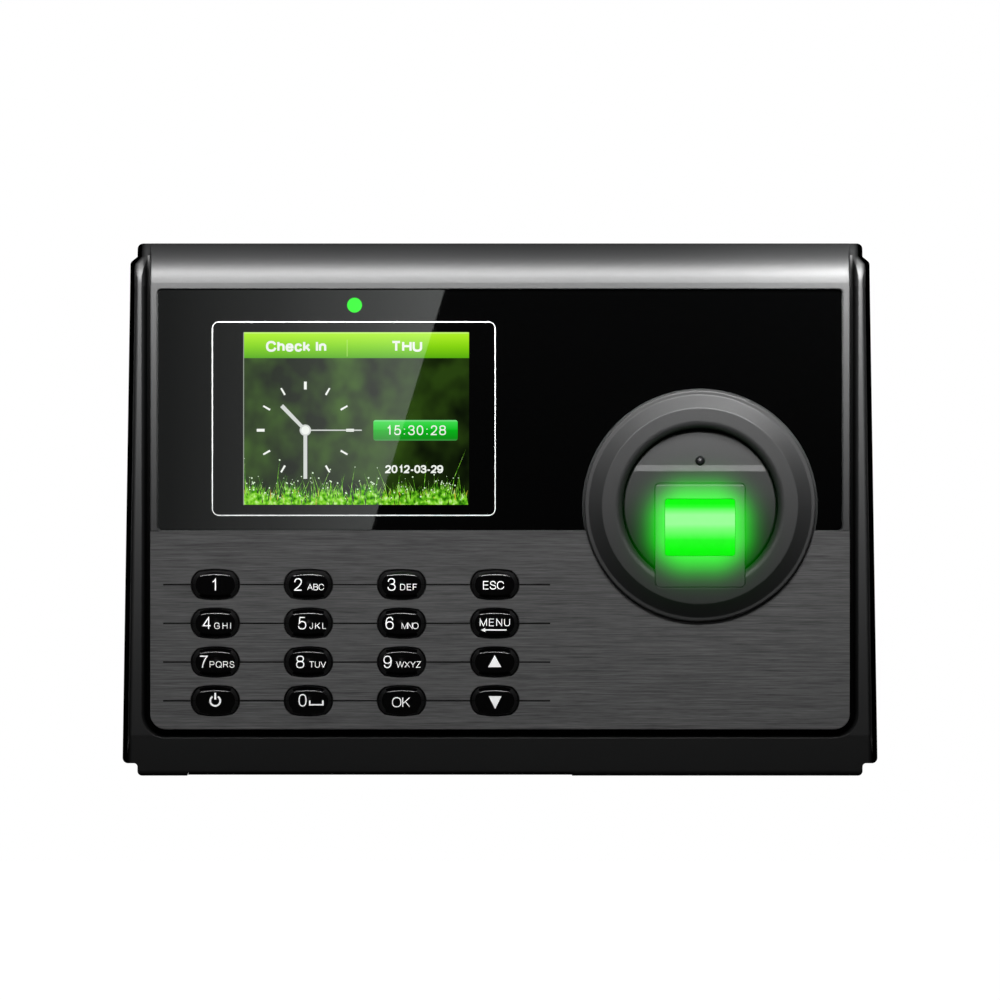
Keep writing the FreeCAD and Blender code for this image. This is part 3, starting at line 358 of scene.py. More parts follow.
def print_black():
    """Black ink bonded to the window, as glossy as the window is."""
    s = Shader("window_print")
    grain = s.noise(700, 2.0)
    return s.set(
        Base_Color=s.mix(grain, rgb(0.0003, 0.0003, 0.00033), rgb(0.0005, 0.0005, 0.00053)),
        Roughness=GLOSS, Normal=s.flat_normal())


def print_white(name="legend_ink", white=0.9, painted_glow=0.3):
    """Screen-printed white ink, lifted by a painted glow."""
    s = Shader(name)
    colour = s.mix(s.noise(2200, 2.0), neutral(white * 0.93), neutral(white))
    # Painted light: the ink glows white though it is only print.
    return s.set(Base_Color=colour, Roughness=0.45, Emission_Color=WHITE, Emission_Strength=painted_glow)


def lit(name, colour):
    """Something that shines with one colour, a little uneven."""
    s = Shader(name)
    unevenness = s.remap(s.noise(150, 2.0), 0.2, 0.8, 0.97, 1.03)
    return s.glow_only(rgb(*colour), unevenness)


def upright(shader, low, high):
    """0 at height low, 1 at height high."""
    return shader.remap(shader.axes()[2], low, high, 0.0, 1.0)


def sensor_light():
    """Sensor glass, lit green from below with a pale band across its upper middle."""
    s = Shader("sensor_light")
    height = upright(s, GLASS_LOW.z, GLASS_HIGH.z)
    green, pale = rgb(0.004, 0.95, 0.004), rgb(0.33, 1.0, 0.32)
    colour = s.ramp(height, [
        (0.0, rgb(0.004, 0.85, 0.004)), (0.1, green), (0.28, rgb(0.02, 0.95, 0.02)),
        (0.48, rgb(0.2, 1.0, 0.19)), (0.56, pale), (0.72, pale),
        (0.86, rgb(0.03, 0.97, 0.03)), (0.92, green)])
    scatter = s.remap(s.noise(500, 2.0), 0.3, 0.7, 0.98, 1.02)
    return s.set(
        Base_Color=rgb(0.001, 0.02, 0.001), Roughness=0.1, Specular_IOR_Level=0.15, Emission_Color=colour,
        Emission_Strength=scatter)


def picture_backdrop():
    """Out-of-focus dark foliage."""
    s = Shader("picture_foliage")
    blur = s.noise(105, 1.0, (1, 1, 0.9))
    spots = s.noise(260, 1.0, (1, 1, 0.85))
    leaves = s.math("ADD", s.math("MULTIPLY", blur, 0.7), s.math("MULTIPLY", spots, 0.3))
    shade = s.ramp(leaves, [
        (0.34, rgb(0.006, 0.012, 0.003)), (0.48, rgb(0.024, 0.056, 0.007)), (0.64, rgb(0.05, 0.125, 0.012))])
    x, _, z = s.axes()
    dusk = s.remap(z, PICTURE_Z0, PICTURE_Z0 + 0.4 * PICTURE_H, 0.5, 1.0)
    side = s.remap(x, PICTURE_X0 + 0.5 * PICTURE_W, PICTURE_X0 + 0.8 * PICTURE_W, 1.0, 0.42)
    return s.glow_only(shade, s.math("MULTIPLY", dusk, side))


def header_bar(z0, z1):
    """Green bar, lighter towards its upper edge."""
    s = Shader("picture_header")
    colour = s.ramp(upright(s, z0, z1), [
        (0.0, rgb(0.1, 0.42, 0.005)), (0.45, rgb(0.25, 0.68, 0.006)),
        (0.93, rgb(0.45, 0.9, 0.02)), (0.97, rgb(0.6, 0.95, 0.2))])
    return s.glow_only(colour, 1.0)


def pill_face(z0, z1):
    """Green button with a glassy step across its middle."""
    s = Shader("picture_pill")
    colour = s.ramp(upright(s, z0, z1), [
        (0.02, rgb(0.05, 0.35, 0.06)), (0.1, rgb(0.005, 0.33, 0.01)), (0.5, rgb(0.003, 0.5, 0.012)),
        (0.55, rgb(0.01, 0.62, 0.025)), (0.9, rgb(0.05, 0.8, 0.08)), (0.96, rgb(0.2, 0.85, 0.25))])
    return s.glow_only(colour, 0.9)


def grass_blade():
    """Grass in greens that change from blade to blade."""
    s = Shader("picture_grass")
    colour = s.ramp(s.noise(900, 2.0), [
        (0.32, rgb(0.02, 0.15, 0.003)), (0.44, rgb(0.1, 0.44, 0.01)),
        (0.56, rgb(0.28, 0.74, 0.035)), (0.7, rgb(0.62, 0.95, 0.35))])
    return s.glow_only(colour, 0.95)


def dress(material, *nodes):
    """Gives CAD nodes a material."""
    for name in nodes:
        slots = NODES[name].data.materials
        slots.clear()
        slots.append(material)


def dress_frame():
    keys = [name for name in NODES if name.startswith("key_")]
    dress(moulded("moulded_abs_front", painted_shade=housing_painted_shade), "front_housing")
    dress(moulded("moulded_abs"), "rear_cover")
    dress(moulded("moulded_abs_sensor", painted_glow=True), "sensor_ring", "sensor_bezel")
    dress(moulded("moulded_abs_cradle", painted_glow=True, painted_shade=cradle_painted_shade), "finger_cradle")
    dress(brushed_sheet(), "brushed_overlay")
    dress(clear_sheet(), "display_lens")
    dress(gloss_plastic("key_gloss", (0.0006, 0.0006, 0.0007), 0.09), *keys)
    dress(gloss_plastic("smoked_dome", (0.006, 0.0065, 0.007), 0.36, 0.0), "sensor_dome")
    dress(sensor_light(), "sensor_glass")
    dress(lit("status_green", (0.025, 1.0, 0.025)), "status_light")
    dress(circuit(), "display_board", "keypad_board", "main_board", "sensor_board")
    dress(silicone(), "keypad_mat")
    dress(painted_plate(), "wall_plate")
    dress(
        moulded("chip_epoxy", (0.014, 0.014, 0.015)), "board_chips", "sensor_block", "coin_cell_holder",
        "buzzer", "tamper_switch", "reset_switch", "dc_jack", "speaker")
    nylon = moulded("connector_nylon", (0.62, 0.6, 0.54), 0.4)
    dress(nylon, "flex_connectors", "sensor_cable", "tamper_plunger", "reset_button")
    dress(moulded("terminal_green", (0.02, 0.22, 0.06), 0.42), "terminal_header")
    zinc = metal("bright_zinc", (0.6, 0.6, 0.58), 0.28)
    dress(zinc, "lock_screw", "cover_screws", "board_screws", "coin_cell", "capacitors")
    nickel = metal("nickel_can", (0.62, 0.61, 0.58), 0.3, (1, 30, 1), 300)
    dress(nickel, "ethernet_jack", "usb_port", "lcd_frame")
    dress(moulded("flex_film", (0.42, 0.16, 0.03), 0.35), "lcd_flex", "keypad_flex")
    dress(moulded("label_film", (0.5, 0.5, 0.52), 0.35), "rating_label")
    dress(gloss_plastic("lcd_cell", (0.02, 0.03, 0.02), 0.1), "lcd_panel")
    dress(moulded("light_guide", (0.8, 0.82, 0.8), 0.3), "lcd_backlight")


# ---- Mesh pieces ----------------------------------------------------------------------------
CORNER_STEPS, CURVE_STEPS, ARC_STEPS = 6, 7, 20     # edges in a corner, a glyph's curve and a symbol's arc


def mesh_piece(name, mesh, material, body="terminal"):
    piece = bpy.data.objects.new(name, mesh)
    bpy.context.scene.collection.objects.link(piece)
    piece.data.materials.clear()
    piece.data.materials.append(material)
    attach(piece, body)
    return piece


def add_prism(bm, outline, y_front, y_back):
    """Closed prism over an outline of (x, z) points."""
    front = [bm.verts.new((x, y_front, z)) for x, z in outline]
    back = [bm.verts.new((x, y_back, z)) for x, z in outline]
    bm.faces.new(front)
    bm.faces.new(back[::-1])
    count = len(outline)
    for i in range(count):
        j = (i + 1) % count
        bm.faces.new((front[j], front[i], back[i], back[j]))


def finish_mesh(bm, name):
    bmesh.ops.recalc_face_normals(bm, faces=bm.faces)
    mesh = bpy.data.meshes.new(name)
    bm.to_mesh(mesh)
    bm.free()
    return mesh


def prisms(name, outlines, y_front, y_back):
    """One mesh of closed prisms, one over each outline."""
    bm = bmesh.new()
    for outline in outlines:
        add_prism(bm, outline, y_front, y_back)
    return finish_mesh(bm, name)


def rectangle(low, high):
    """Outline between two opposite corners."""
    return [low, (high[0], low[1]), high, (low[0], high[1])]


def rounded_rect(x0, x1, z0, z1, radius):
    left, right, low, high = x0 + radius, x1 - radius, z0 + radius, z1 - radius
    points = []
    for cx, cz, start in ((right, high, 0), (left, high, 90), (left, low, 180), (right, low, 270)):
        for i in range(CORNER_STEPS + 1):
            angle = math.radians(start + 90 * i / CORNER_STEPS)
            points.append((cx + radius * math.cos(angle), cz + radius * math.sin(angle)))
    return points


def frame_mesh(name, outer, inner, y_front, y_back):
    """Flat frame between two outlines with the same number of points."""
    bm = bmesh.new()
    sides = [(y, outline) for y in (y_front, y_back) for outline in (outer, inner)]
    rings = [[bm.verts.new((x, y, z)) for x, z in outline] for y, outline in sides]
    count = len(outer)
    for a, b in ((0, 1), (1, 3), (3, 2), (2, 0)):
        for i in range(count):
            j = (i + 1) % count
            bm.faces.new((rings[a][i], rings[a][j], rings[b][j], rings[b][i]))
    return finish_mesh(bm, name)


def bar(start, end, width, end_width=None):
    """Outline of a straight bar between two (x, z) points."""
    a, b = Vector(start), Vector(end)
    side = (b - a).normalized().orthogonal()
    half_a, half_b = width / 2, (width if end_width is None else end_width) / 2
    corners = (a + side * half_a, b + side * half_b, b - side * half_b, a - side * half_a)
    return [tuple(corner) for corner in corners]


def disc(x, z, radius, steps=32):
    turn = 2 * math.pi / steps
    return [(x + radius * math.cos(i * turn), z + radius * math.sin(i * turn)) for i in range(steps)]


# Lettering drawn as strokes: a glyph's stem-to-stem width in tenths of the capital height, then its
# strokes as "x,y" points in hundredths of that width and of the capital height. A star marks the
# control point of a curve, and a leading "o" closes a stroke into a loop.
GLYPHS = {
    "0": (5.5, "o 0,100* 100,100* 100,0* 0,0*"),
    "1": (2.2, "0,74 80,84* 100,100 100,0"),
    "2": (5.6, "4,70 4,100* 50,100 95,100* 95,72 95,52* 45,25 5,8* 2,0 100,0"),
    "3": (5.6, "3,74 8,100* 48,100 92,100* 92,76 92,53* 42,53 100,53* 100,27 100,0* 48,0 4,0* 0,28"),
    "4": (6.0, "74,0 74,100 0,28 100,28"),
    "5": (5.7, "90,100 20,100 8,48 25,64* 50,64 100,64* 100,32 100,0* 48,0 4,0* 0,26"),
    "6": (5.7, "94,76 90,100* 54,100 0,100* 0,45 0,0* 50,0 100,0* 100,32 100,62* 53,62 8,62* 2,36"),
    "7": (5.6, "0,100 100,100 42,50* 34,0"),
    "8": (5.7, "o 5,100* 95,100* 95,54* 5,54*|o 0,54* 100,54* 100,0* 0,0*"),
    "9": (5.7, "6,24 10,0* 46,0 100,0* 100,55 100,100* 50,100 0,100* 0,68 0,38* 47,38 92,38* 98,64"),
    "A": (7.9, "0,0 50,100 100,0|18,34 82,34"),
    "B": (6.3, "0,0 0,100 55,100 92,100* 92,77 92,54* 55,54 0,54|55,54 100,54* 100,27 100,0* 55,0 0,0"),
    "C": (7.5, "96,68 88,100* 50,100 0,100* 0,50 0,0* 50,0 90,0* 100,34"),
    "D": (7.0, "0,0 0,100 45,100 100,100* 100,50 100,0* 45,0 0,0"),
    "E": (6.0, "100,100 0,100 0,0 100,0|0,53 92,53"),
    "F": (5.6, "100,100 0,100 0,0|0,50 86,50"),
    "G": (7.8, "96,70 88,100* 50,100 0,100* 0,50 0,0* 52,0 84,0* 100,16 100,46 56,46"),
    "H": (6.7, "0,0 0,100|100,0 100,100|0,52 100,52"),
    "I": (0.0, "0,0 0,100"),
    "J": (4.4, "100,100 100,28 100,0* 50,0 0,0* 0,30"),
    "K": (6.8, "0,0 0,100|100,100 0,34|36,58 100,0"),
    "L": (5.2, "0,100 0,0 100,0"),
    "M": (8.4, "0,0 0,100 50,0 100,100 100,0"),
    "N": (6.7, "0,0 0,100 100,0 100,100"),
    "O": (8.4, "o 0,100* 100,100* 100,0* 0,0*"),
    "P": (6.4, "0,0 0,100 60,100 100,100* 100,73 100,46* 60,46 0,46"),
    "Q": (8.4, "o 0,100* 100,100* 100,0* 0,0*|62,24 102,-4"),
    "R": (6.9, "0,0 0,100 60,100 96,100* 96,74 96,48* 60,48 0,48|55,48 78,42* 100,0"),
    "S": (6.6, "93,72 90,100* 50,100 6,100* 6,76 6,57* 50,51 100,45* 100,25 100,0* 48,0 3,0* 0,30"),
    "T": (7.0, "0,100 100,100|50,100 50,0"),
    "U": (6.7, "0,100 0,35 0,0* 50,0 100,0* 100,35 100,100"),
    "V": (7.8, "0,100 50,0 100,100"),
    "W": (11.4, "0,100 26,0 50,100 74,0 100,100"),
    "X": (7.4, "0,100 100,0|0,0 100,100"),
    "Y": (7.6, "0,100 50,44 100,100|50,44 50,0"),
    "Z": (6.6, "4,100 97,100 0,0 100,0"),
    "c": (5.0, "96,50 88,72* 50,72 0,72* 0,36 0,0* 50,0 90,0* 100,24"),
    "e": (5.4, "0,38 98,38 98,72* 50,72 0,72* 0,36 0,0* 50,0 86,0* 98,20"),
    "h": (4.7, "0,0 0,100|0,40 4,72* 52,72 100,72* 100,44 100,0"),
    "k": (4.8, "0,0 0,100|92,72 0,24|34,44 100,0"),
    "n": (4.7, "0,0 0,72|0,40 4,72* 52,72 100,72* 100,44 100,0"),
    "-": (3.0, "0,34 100,34"),
    ":": (0.0, "0,2 0,12|0,58 0,68"),
    " ": (1.2, ""),
}


def curve_points(start, control, end):
    """Points after the start of a curve that leans towards its control point."""
    points = []
    for i in range(1, CURVE_STEPS + 1):
        t = i / CURVE_STEPS
        a, b, c = (1 - t) ** 2, 2 * t * (1 - t), t * t
        points.append(tuple(a * p + b * q + c * r for p, q, r in zip(start, control, end)))
    return points


def read_stroke(text):
    """Points of one stroke, with its curves drawn out, and whether it is a loop."""
    words = text.split()
    closed = words[0] == "o"
    marks = []
    for word in words[1:] if closed else words:
        x, y = word.rstrip("*").split(",")
        marks.append(((float(x), float(y)), word.endswith("*")))
    spread = []
    for i, (point, control) in enumerate(marks):
        before, before_control = marks[i - 1]
        if control and before_control and (closed or i):
            spread.append((tuple((p + q) / 2 for p, q in zip(before, point)), False))
        spread.append((point, control))
    if closed:
        spread.append(spread[0])
    line = [spread[0][0]]
    for i, (point, control) in enumerate(spread[1:], 1):
        if control:
            line += curve_points(line[-1], point, spread[i + 1][0])
        elif not spread[i - 1][1]:
            line.append(point)
    return (line[:-1] if closed else line), closed


def split_long(line, reach):
    """The same line with extra points, so that no step is longer than reach."""
    out = [line[0]]
    for a, b in zip(line, line[1:]):
        count = max(1, math.ceil(math.dist(a, b) / reach))
        out += [tuple(p + (q - p) * i / count for p, q in zip(a, b)) for i in range(1, count + 1)]
    return out


SHARPEST_MITRE = 0.45                           # stops the ink from spiking at a sharp corner


def add_ribbon(bm, line, width, y_front, y_back, closed=False, end_width=None):
    """Flat strip of ink along (x, z) points, with mitred corners."""
    count = len(line)
    widening = 0 if end_width is None else end_width - width
    rows = []
    for i in range(count):
        here = Vector(line[i])
        before = Vector(line[i - 1]) if i or closed else None
        after = Vector(line[(i + 1) % count]) if i < count - 1 or closed else None
        inward = (here - before).normalized() if before is not None else (after - here).normalized()
        outward = (after - here).normalized() if after is not None else inward
        along = inward + outward
        normal = along.normalized().orthogonal() if along.length > 1e-6 else inward.orthogonal()
        half = (width + widening * i / (count - 1)) / 2
        reach = normal * (half / max(normal.dot(inward.orthogonal()), SHARPEST_MITRE))
        corners = []
        for side in (1, -1):
            for y in (y_front, y_back):
                spot = here + reach * side
                corners.append(bm.verts.new((spot.x, y, spot.y)))
        rows.append(corners)
    for a, b in zip(rows, rows[1:] + (rows[:1] if closed else [])):
        for i, j in ((0, 2), (2, 3), (3, 1), (1, 0)):
            bm.faces.new((a[i], a[j], b[j], b[i]))
    if not closed:
        for row in (rows[0], rows[-1]):
            bm.faces.new((row[0], row[2], row[3], row[1]))


LETTER_GAP = 1.05                               # clear space between two letters, in tenths of their height
DIGIT_CELL, COLON_CELL = 5.6, 2.4               # even spacing for the time and date
LONGEST_STEP, LONGEST_SYMBOL_STEP = 0.7 * MM, 0.4 * MM


def glyph_layout(words, spacing):
    """Left edge of each glyph, and the whole width, in tenths of the capital height."""
    places, x = [], 0.0
    for letter in words:
        width = GLYPHS[letter][0]
        cell = DIGIT_CELL if letter.isdigit() else COLON_CELL if letter == ":" else width
        places.append(x + (cell - width) / 2)
        x += cell + spacing
    return places, x - spacing


def text_mesh(name, words, height, x, z, y_front, thickness, weight, width=None):
    """Lettering with capitals of a given height, centred on x and standing on z.

    The weight is a stroke's width as a share of the capital height.
    """
    spacing = 10 * weight + LETTER_GAP
    places, natural = glyph_layout(words, spacing)
    unit = height / 10
    if width:
        spacing += (width / unit - 10 * weight - natural) / (len(words) - 1)
        places, natural = glyph_layout(words, spacing)
    stem = weight * height
    bm = bmesh.new()
    for letter, left in zip(words, places):
        stem_width, strokes = GLYPHS[letter]
        for stroke in filter(None, strokes.split("|")):
            line, closed = read_stroke(stroke)
            across = x + (left - natural / 2) * unit
            foot = z + stem / 2
            spots = [
                (across + u * stem_width * unit / 100, foot + v * (height - stem) / 100) for u, v in line]
            if not closed:
                spots = split_long(spots, LONGEST_STEP)
            add_ribbon(bm, spots, stem, y_front, y_front + thickness, closed)
    return finish_mesh(bm, name)


# ---- Display picture ------------------------------------------------------------------------
def on_screen(u, v):
    """Picture coordinates, in millimetres from its lower left corner, to (x, z)."""
    return PICTURE_X0 + u * MM, PICTURE_Z0 + v * MM


LAYER_THICKNESS = 0.015 * MM
TEXT_LAYER = 6


def layer(step):
    """Front of a picture layer; each step lies 0.02 mm nearer the viewer."""
    return PICTURE_Y - (0.04 + 0.02 * step) * MM


def picture_piece(name, outlines, step, material):
    mesh = prisms(name, outlines, layer(step), layer(step) + LAYER_THICKNESS)
    mesh_piece(name, mesh, material)


def picture_text(name, words, height, u, v, width, material, weight):
    """Text on the picture, with u and v the middle of its foot; sizes are in millimetres."""
    x, z = on_screen(u, v)
    mesh = text_mesh(
        name, words, height * MM, x, z, layer(TEXT_LAYER), LAYER_THICKNESS, weight, width * MM)
    mesh_piece(name, mesh, material)


def clock_face(white, grey):
    """Ticks and hands, with sizes in millimetres: the hands stand near half past ten."""
    cx, cz = on_screen(15.85, 19.1)

    def at(angle, radius):
        return cx + radius * MM * math.sin(angle), cz + radius * MM * math.cos(angle)

    def hand(degrees, length, width, tip_width=None):
        angle = math.radians(degrees)
        return bar(at(angle, 0), at(angle, length), width * MM, tip_width and tip_width * MM)

    tick_start, tick_end = 10.4, 12.4
    ticks = []
    for hour in range(12):
        angle = math.radians(30 * hour)
        broad = hour % 3 == 0 and hour != 6
        outer_width, inner_width = (0.72, 0.72) if broad else (0.42, 0.5)
        ticks.append(bar(at(angle, tick_start), at(angle, tick_end), inner_width * MM, outer_width * MM))
    picture_piece("clock_ticks", ticks, 3, white)
    shadow = 0.22 * MM
    hands = {"hour_hand": hand(316, 8.7, 0.85, 1.05), "minute_hand": hand(180, tick_end, 0.95)}
    for name, outline in hands.items():
        picture_piece(name, [outline], 5, grey)
        lower = [(x + shadow, z - shadow) for x, z in outline]
        picture_piece(name + "_shadow", [lower], 2, lit("picture_shadow", (0.004, 0.008, 0.003)))
    picture_piece("second_hand", [hand(90, 14.4, 0.3)], 4, grey)
    picture_piece("clock_boss", [disc(cx, cz, 1.45 * MM)], 6, grey)
    picture_piece("clock_boss_cap", [disc(cx, cz, 1.05 * MM)], 7, white)


def grass(fresh, yellow, dew):
    """Turf along the picture's lower edge, with tall stalks and dew drops on the tips.

    A blade is its foot, height, lean and width in millimetres.
    """
    blades, drops = [], []
    for _ in range(620):
        u = RNG.uniform(0.2, 57.4)
        tall = 2.6 + 2.2 * math.sin(u * 0.33 + 0.6) ** 2 + RNG.uniform(-1.4, 1.6)
        blades.append((u, tall, RNG.gauss(0, 1.1), RNG.uniform(0.18, 0.36)))
    for _ in range(70):
        u, tall = RNG.uniform(0.5, 57.0), RNG.uniform(5.0, 8.6)
        blades.append((u, tall, RNG.gauss(0, 1.6), RNG.uniform(0.12, 0.2)))
    stalks = [(0.6, 12.0, -0.3), (3.4, 7.0, -1.2), (8.4, 11.6, 0.9), (15.0, 7.0, 2.2), (19.5, 9.2, 2.7),
              (27.3, 9.8, 1.2), (33.8, 8.0, 0.4), (37.0, 9.6, -2.8), (46.0, 11.4, 0.8), (50.5, 7.0, 3.1),
              (52.6, 14.2, 4.2)]
    blades += [(u, tall, lean, 0.18) for u, tall, lean in stalks]
    groups = {fresh: [], yellow: []}
    for u, tall, lean, width in blades:
        tip = min(max(u + lean, 0.15), 57.45)
        middle = u + 0.3 * (tip - u)
        left, right = u - width / 2, u + width / 2
        near, far = middle - width * 0.4, middle + width * 0.4
        points = [(left, 0.1), (near, tall * 0.5), (tip, tall), (far, tall * 0.5), (right, 0.1)]
        tint = yellow if tall < 5 and RNG.random() < 0.08 else fresh
        groups[tint].append([on_screen(*point) for point in points][::-1])
        if RNG.random() < (0.4 if tall > 5.4 else 0.08):
            drops.append(disc(*on_screen(tip, tall - 0.1), RNG.uniform(0.08, 0.22) * MM, 10))
    picture_piece("yellow_grass", groups[yellow], 2, yellow)
    picture_piece("grass", groups[fresh], 3, fresh)
    picture_piece("dew_drops", drops, 4, dew)


def display_picture():
    white = lit("picture_white", (0.93, 0.95, 0.9))
    grey = lit("picture_grey", (0.68, 0.7, 0.67))
    low, high = on_screen(0, 0), (PICTURE_X0 + PICTURE_W, PICTURE_Z0 + PICTURE_H)
    picture_piece("picture", [rectangle(low, high)], 0, picture_backdrop())
    header_low = on_screen(0, 37.5)
    header = header_bar(header_low[1], high[1])
    picture_piece("header_bar", [rectangle(header_low, high)], 1, header)
    divider = bar(on_screen(26.5, 37.9), on_screen(26.5, 42.2), 0.14 * MM)
    picture_piece("header_divider", [divider], 2, lit("divider", (0.5, 0.85, 0.15)))
    clock_face(white, grey)
    x0, z0 = on_screen(33.2, 16.45)
    x1, z1 = on_screen(54.7, 21.7)
    picture_piece("time_pill", [rounded_rect(x0, x1, z0, z1, 0.6 * MM)], 3, pill_face(z0, z1))
    picture_text("header_mode", "Check In", 2.8, 13.5, 39.1, 15.4, white, 0.21)
    picture_text("header_day", "THU", 2.8, 41.7, 39.1, 7.9, white, 0.21)
    picture_text("time_digits", "15:30:28", 2.5, 44.0, 17.85, 15.4, white, 0.12)
    picture_text("date_digits", "2012-03-29", 2.05, 43.6, 8.15, 14.8, white, 0.2)
    grass(grass_blade(), lit("picture_yellow", (0.75, 0.55, 0.06)), lit("dew", (0.8, 0.98, 0.7)))
    rim = rectangle(low, (low[0] + 0.22 * MM, high[1]))
    picture_piece("picture_edge", [rim], 5, lit("picture_rim", (0.3, 0.33, 0.28)))


def window_film():
    """The printed film, set back a hair from the window so that the two don't share a face."""
    hair = 0.02 * MM
    mesh = NODES["lens_mask"].data.copy()
    for vert in mesh.vertices:
        if vert.co.y < PRINT_Y + hair / 2:
            vert.co.y += hair
    for polygon in mesh.polygons:
        polygon.use_smooth = False
    piece = mesh_piece("window_film", mesh, print_black())
    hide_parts("lens_mask")


def window_outline():
    """White line printed round the display, inside the window."""
    half_w, half_h, line = 36.2 * MM, 24.8 * MM, 0.27 * MM
    x, z = -37.3 * MM, SCREEN.z

    def outline(inset, radius):
        reach_x, reach_z = half_w - inset, half_h - inset
        return rounded_rect(x - reach_x, x + reach_x, z - reach_z, z + reach_z, radius)

    outer, inner = outline(0, 1.9 * MM), outline(line, 1.4 * MM)
    mesh = frame_mesh("window_outline", outer, inner, PRINT_Y - 0.04 * MM, PRINT_Y - 0.01 * MM)
    mesh_piece("window_outline", mesh, print_white("outline_ink", 0.6, 0.2))


# ---- Key legends ----------------------------------------------------------------------------
KEY_CROWN_R = 42.0 * MM                         # radius of a key's crowned top
INK_FRONT, INK_BACK = -0.045 * MM, 0.02 * MM    # from the key's top: proud of it, and let into it
INK_WHITE = print_white()


def drape_on_key(mesh, key):
    """Lays flat lettering on the key's crowned top."""
    middle = centre_of(key)
    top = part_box(key)[0].y
    for vert in mesh.vertices:
        across = math.hypot(vert.co.x - middle.x, vert.co.z - middle.z)
        vert.co.y += top + KEY_CROWN_R - math.sqrt(KEY_CROWN_R ** 2 - across ** 2)
    mesh.update()
    return mesh


def key_text(key, label, words, height, dx, dz, weight, width=None):
    """Lettering dx and dz from the key's centre, with sizes in millimetres."""
    middle = centre_of(key)
    mesh = text_mesh(
        key + label, words, height * MM, middle.x + dx * MM, middle.z + dz * MM, INK_FRONT,
        INK_BACK - INK_FRONT, weight, width and width * MM)
    mesh_piece(key + label, drape_on_key(mesh, key), INK_WHITE, key)


def key_symbol(key, label, strokes):
    """Strokes about the key's centre in millimetres: each is points, width and end width."""
    middle = centre_of(key)
    bm = bmesh.new()
    for line, width, end_width in strokes:
        spots = [(middle.x + x * MM, middle.z + z * MM) for x, z in line]
        spots = split_long(spots, LONGEST_SYMBOL_STEP)
        add_ribbon(bm, spots, width * MM, INK_FRONT, INK_BACK, end_width=end_width * MM)
    mesh = finish_mesh(bm, key + label)
    mesh_piece(key + label, drape_on_key(mesh, key), INK_WHITE, key)


def arc(radius, start, end):
    angles = [math.radians(start + (end - start) * i / ARC_STEPS) for i in range(ARC_STEPS + 1)]
    return [(radius * math.cos(a), radius * math.sin(a)) for a in angles]


LETTER_WIDTHS = {3: 4.3, 4: 6.3}                # of the small letters beside a digit, by how many


def key_legends():
    """Digits, letters, words and symbols, each placed in millimetres from its key's centre."""
    numbers = [
        # digit, its letters, and where the two stand across the key
        ("2", "ABC", -2.63, 1.84), ("3", "DEF", -2.55, 1.8), ("4", "GHI", -2.14, 1.86),
        ("5", "JKL", -1.6, 2.42), ("6", "MNO", -3.06, 2.17), ("7", "PQRS", -2.98, 1.73),
        ("8", "TUV", -2.1, 2.35), ("9", "WXYZ", -3.57, 1.79),
    ]
    digit_h, letter_h = 3.2, 1.62
    for digit, letters, digit_x, letters_x in numbers:
        key = "key_" + digit
        key_text(key, "_digit", digit, digit_h, digit_x, -1.53, 0.09)
        key_text(key, "_letters", letters, letter_h, letters_x, -1.4, 0.1, LETTER_WIDTHS[len(letters)])
    key_text("key_1", "_digit", "1", digit_h, -0.3, -1.6, 0.09)
    key_text("key_0", "_digit", "0", digit_h, -1.48, -1.45, 0.09)
    key_symbol("key_0", "_space", [([(0.35, 0.1), (0.35, -1.0), (3.7, -1.0), (3.7, 0.1)], 0.36, 0.36)])
    key_text("key_esc", "_word", "ESC", 2.15, -0.28, -1.2, 0.1, 5.4)
    key_text("key_menu", "_word", "MENU", 1.94, 0.05, -0.7, 0.1, 7.7)
    shaft, head = [(3.05, -1.66), (-2.5, -1.66)], [(-2.4, -1.66), (-3.5, -1.66)]
    key_symbol("key_menu", "_arrow", [(shaft, 0.32, 0.32), (head, 1.05, 0.05)])
    key_text("key_ok", "_word", "OK", 2.55, -0.13, -1.62, 0.095, 4.6)
    key_symbol("key_up", "_arrow", [([(0.0, -1.25), (0.0, 1.75)], 3.3, 0.04)])
    key_symbol("key_down", "_arrow", [([(0.1, 1.2), (0.1, -2.0)], 3.3, 0.04)])
    ring, stem = arc(1.28, 122, 418), [(0.0, 0.35), (0.0, 2.05)]
    key_symbol("key_power", "_symbol", [(ring, 0.45, 0.45), (stem, 0.45, 0.45)])


# ---- Studio ---------------------------------------------------------------------------------
def stage_plane(name, corners, material, **visible):
    """Flat card of the studio, with the kinds of ray that don't see it set to False."""
    mesh = bpy.data.meshes.new(name)
    mesh.from_pydata(corners, [], [tuple(range(len(corners)))])
    piece = bpy.data.objects.new(name, mesh)
    bpy.context.scene.collection.objects.link(piece)
    piece.data.materials.append(material)
    for kind, value in visible.items():
        setattr(piece, "visible_" + kind, value)


DIM_WORLD = 0.02                                # brightness of the world, except to the camera


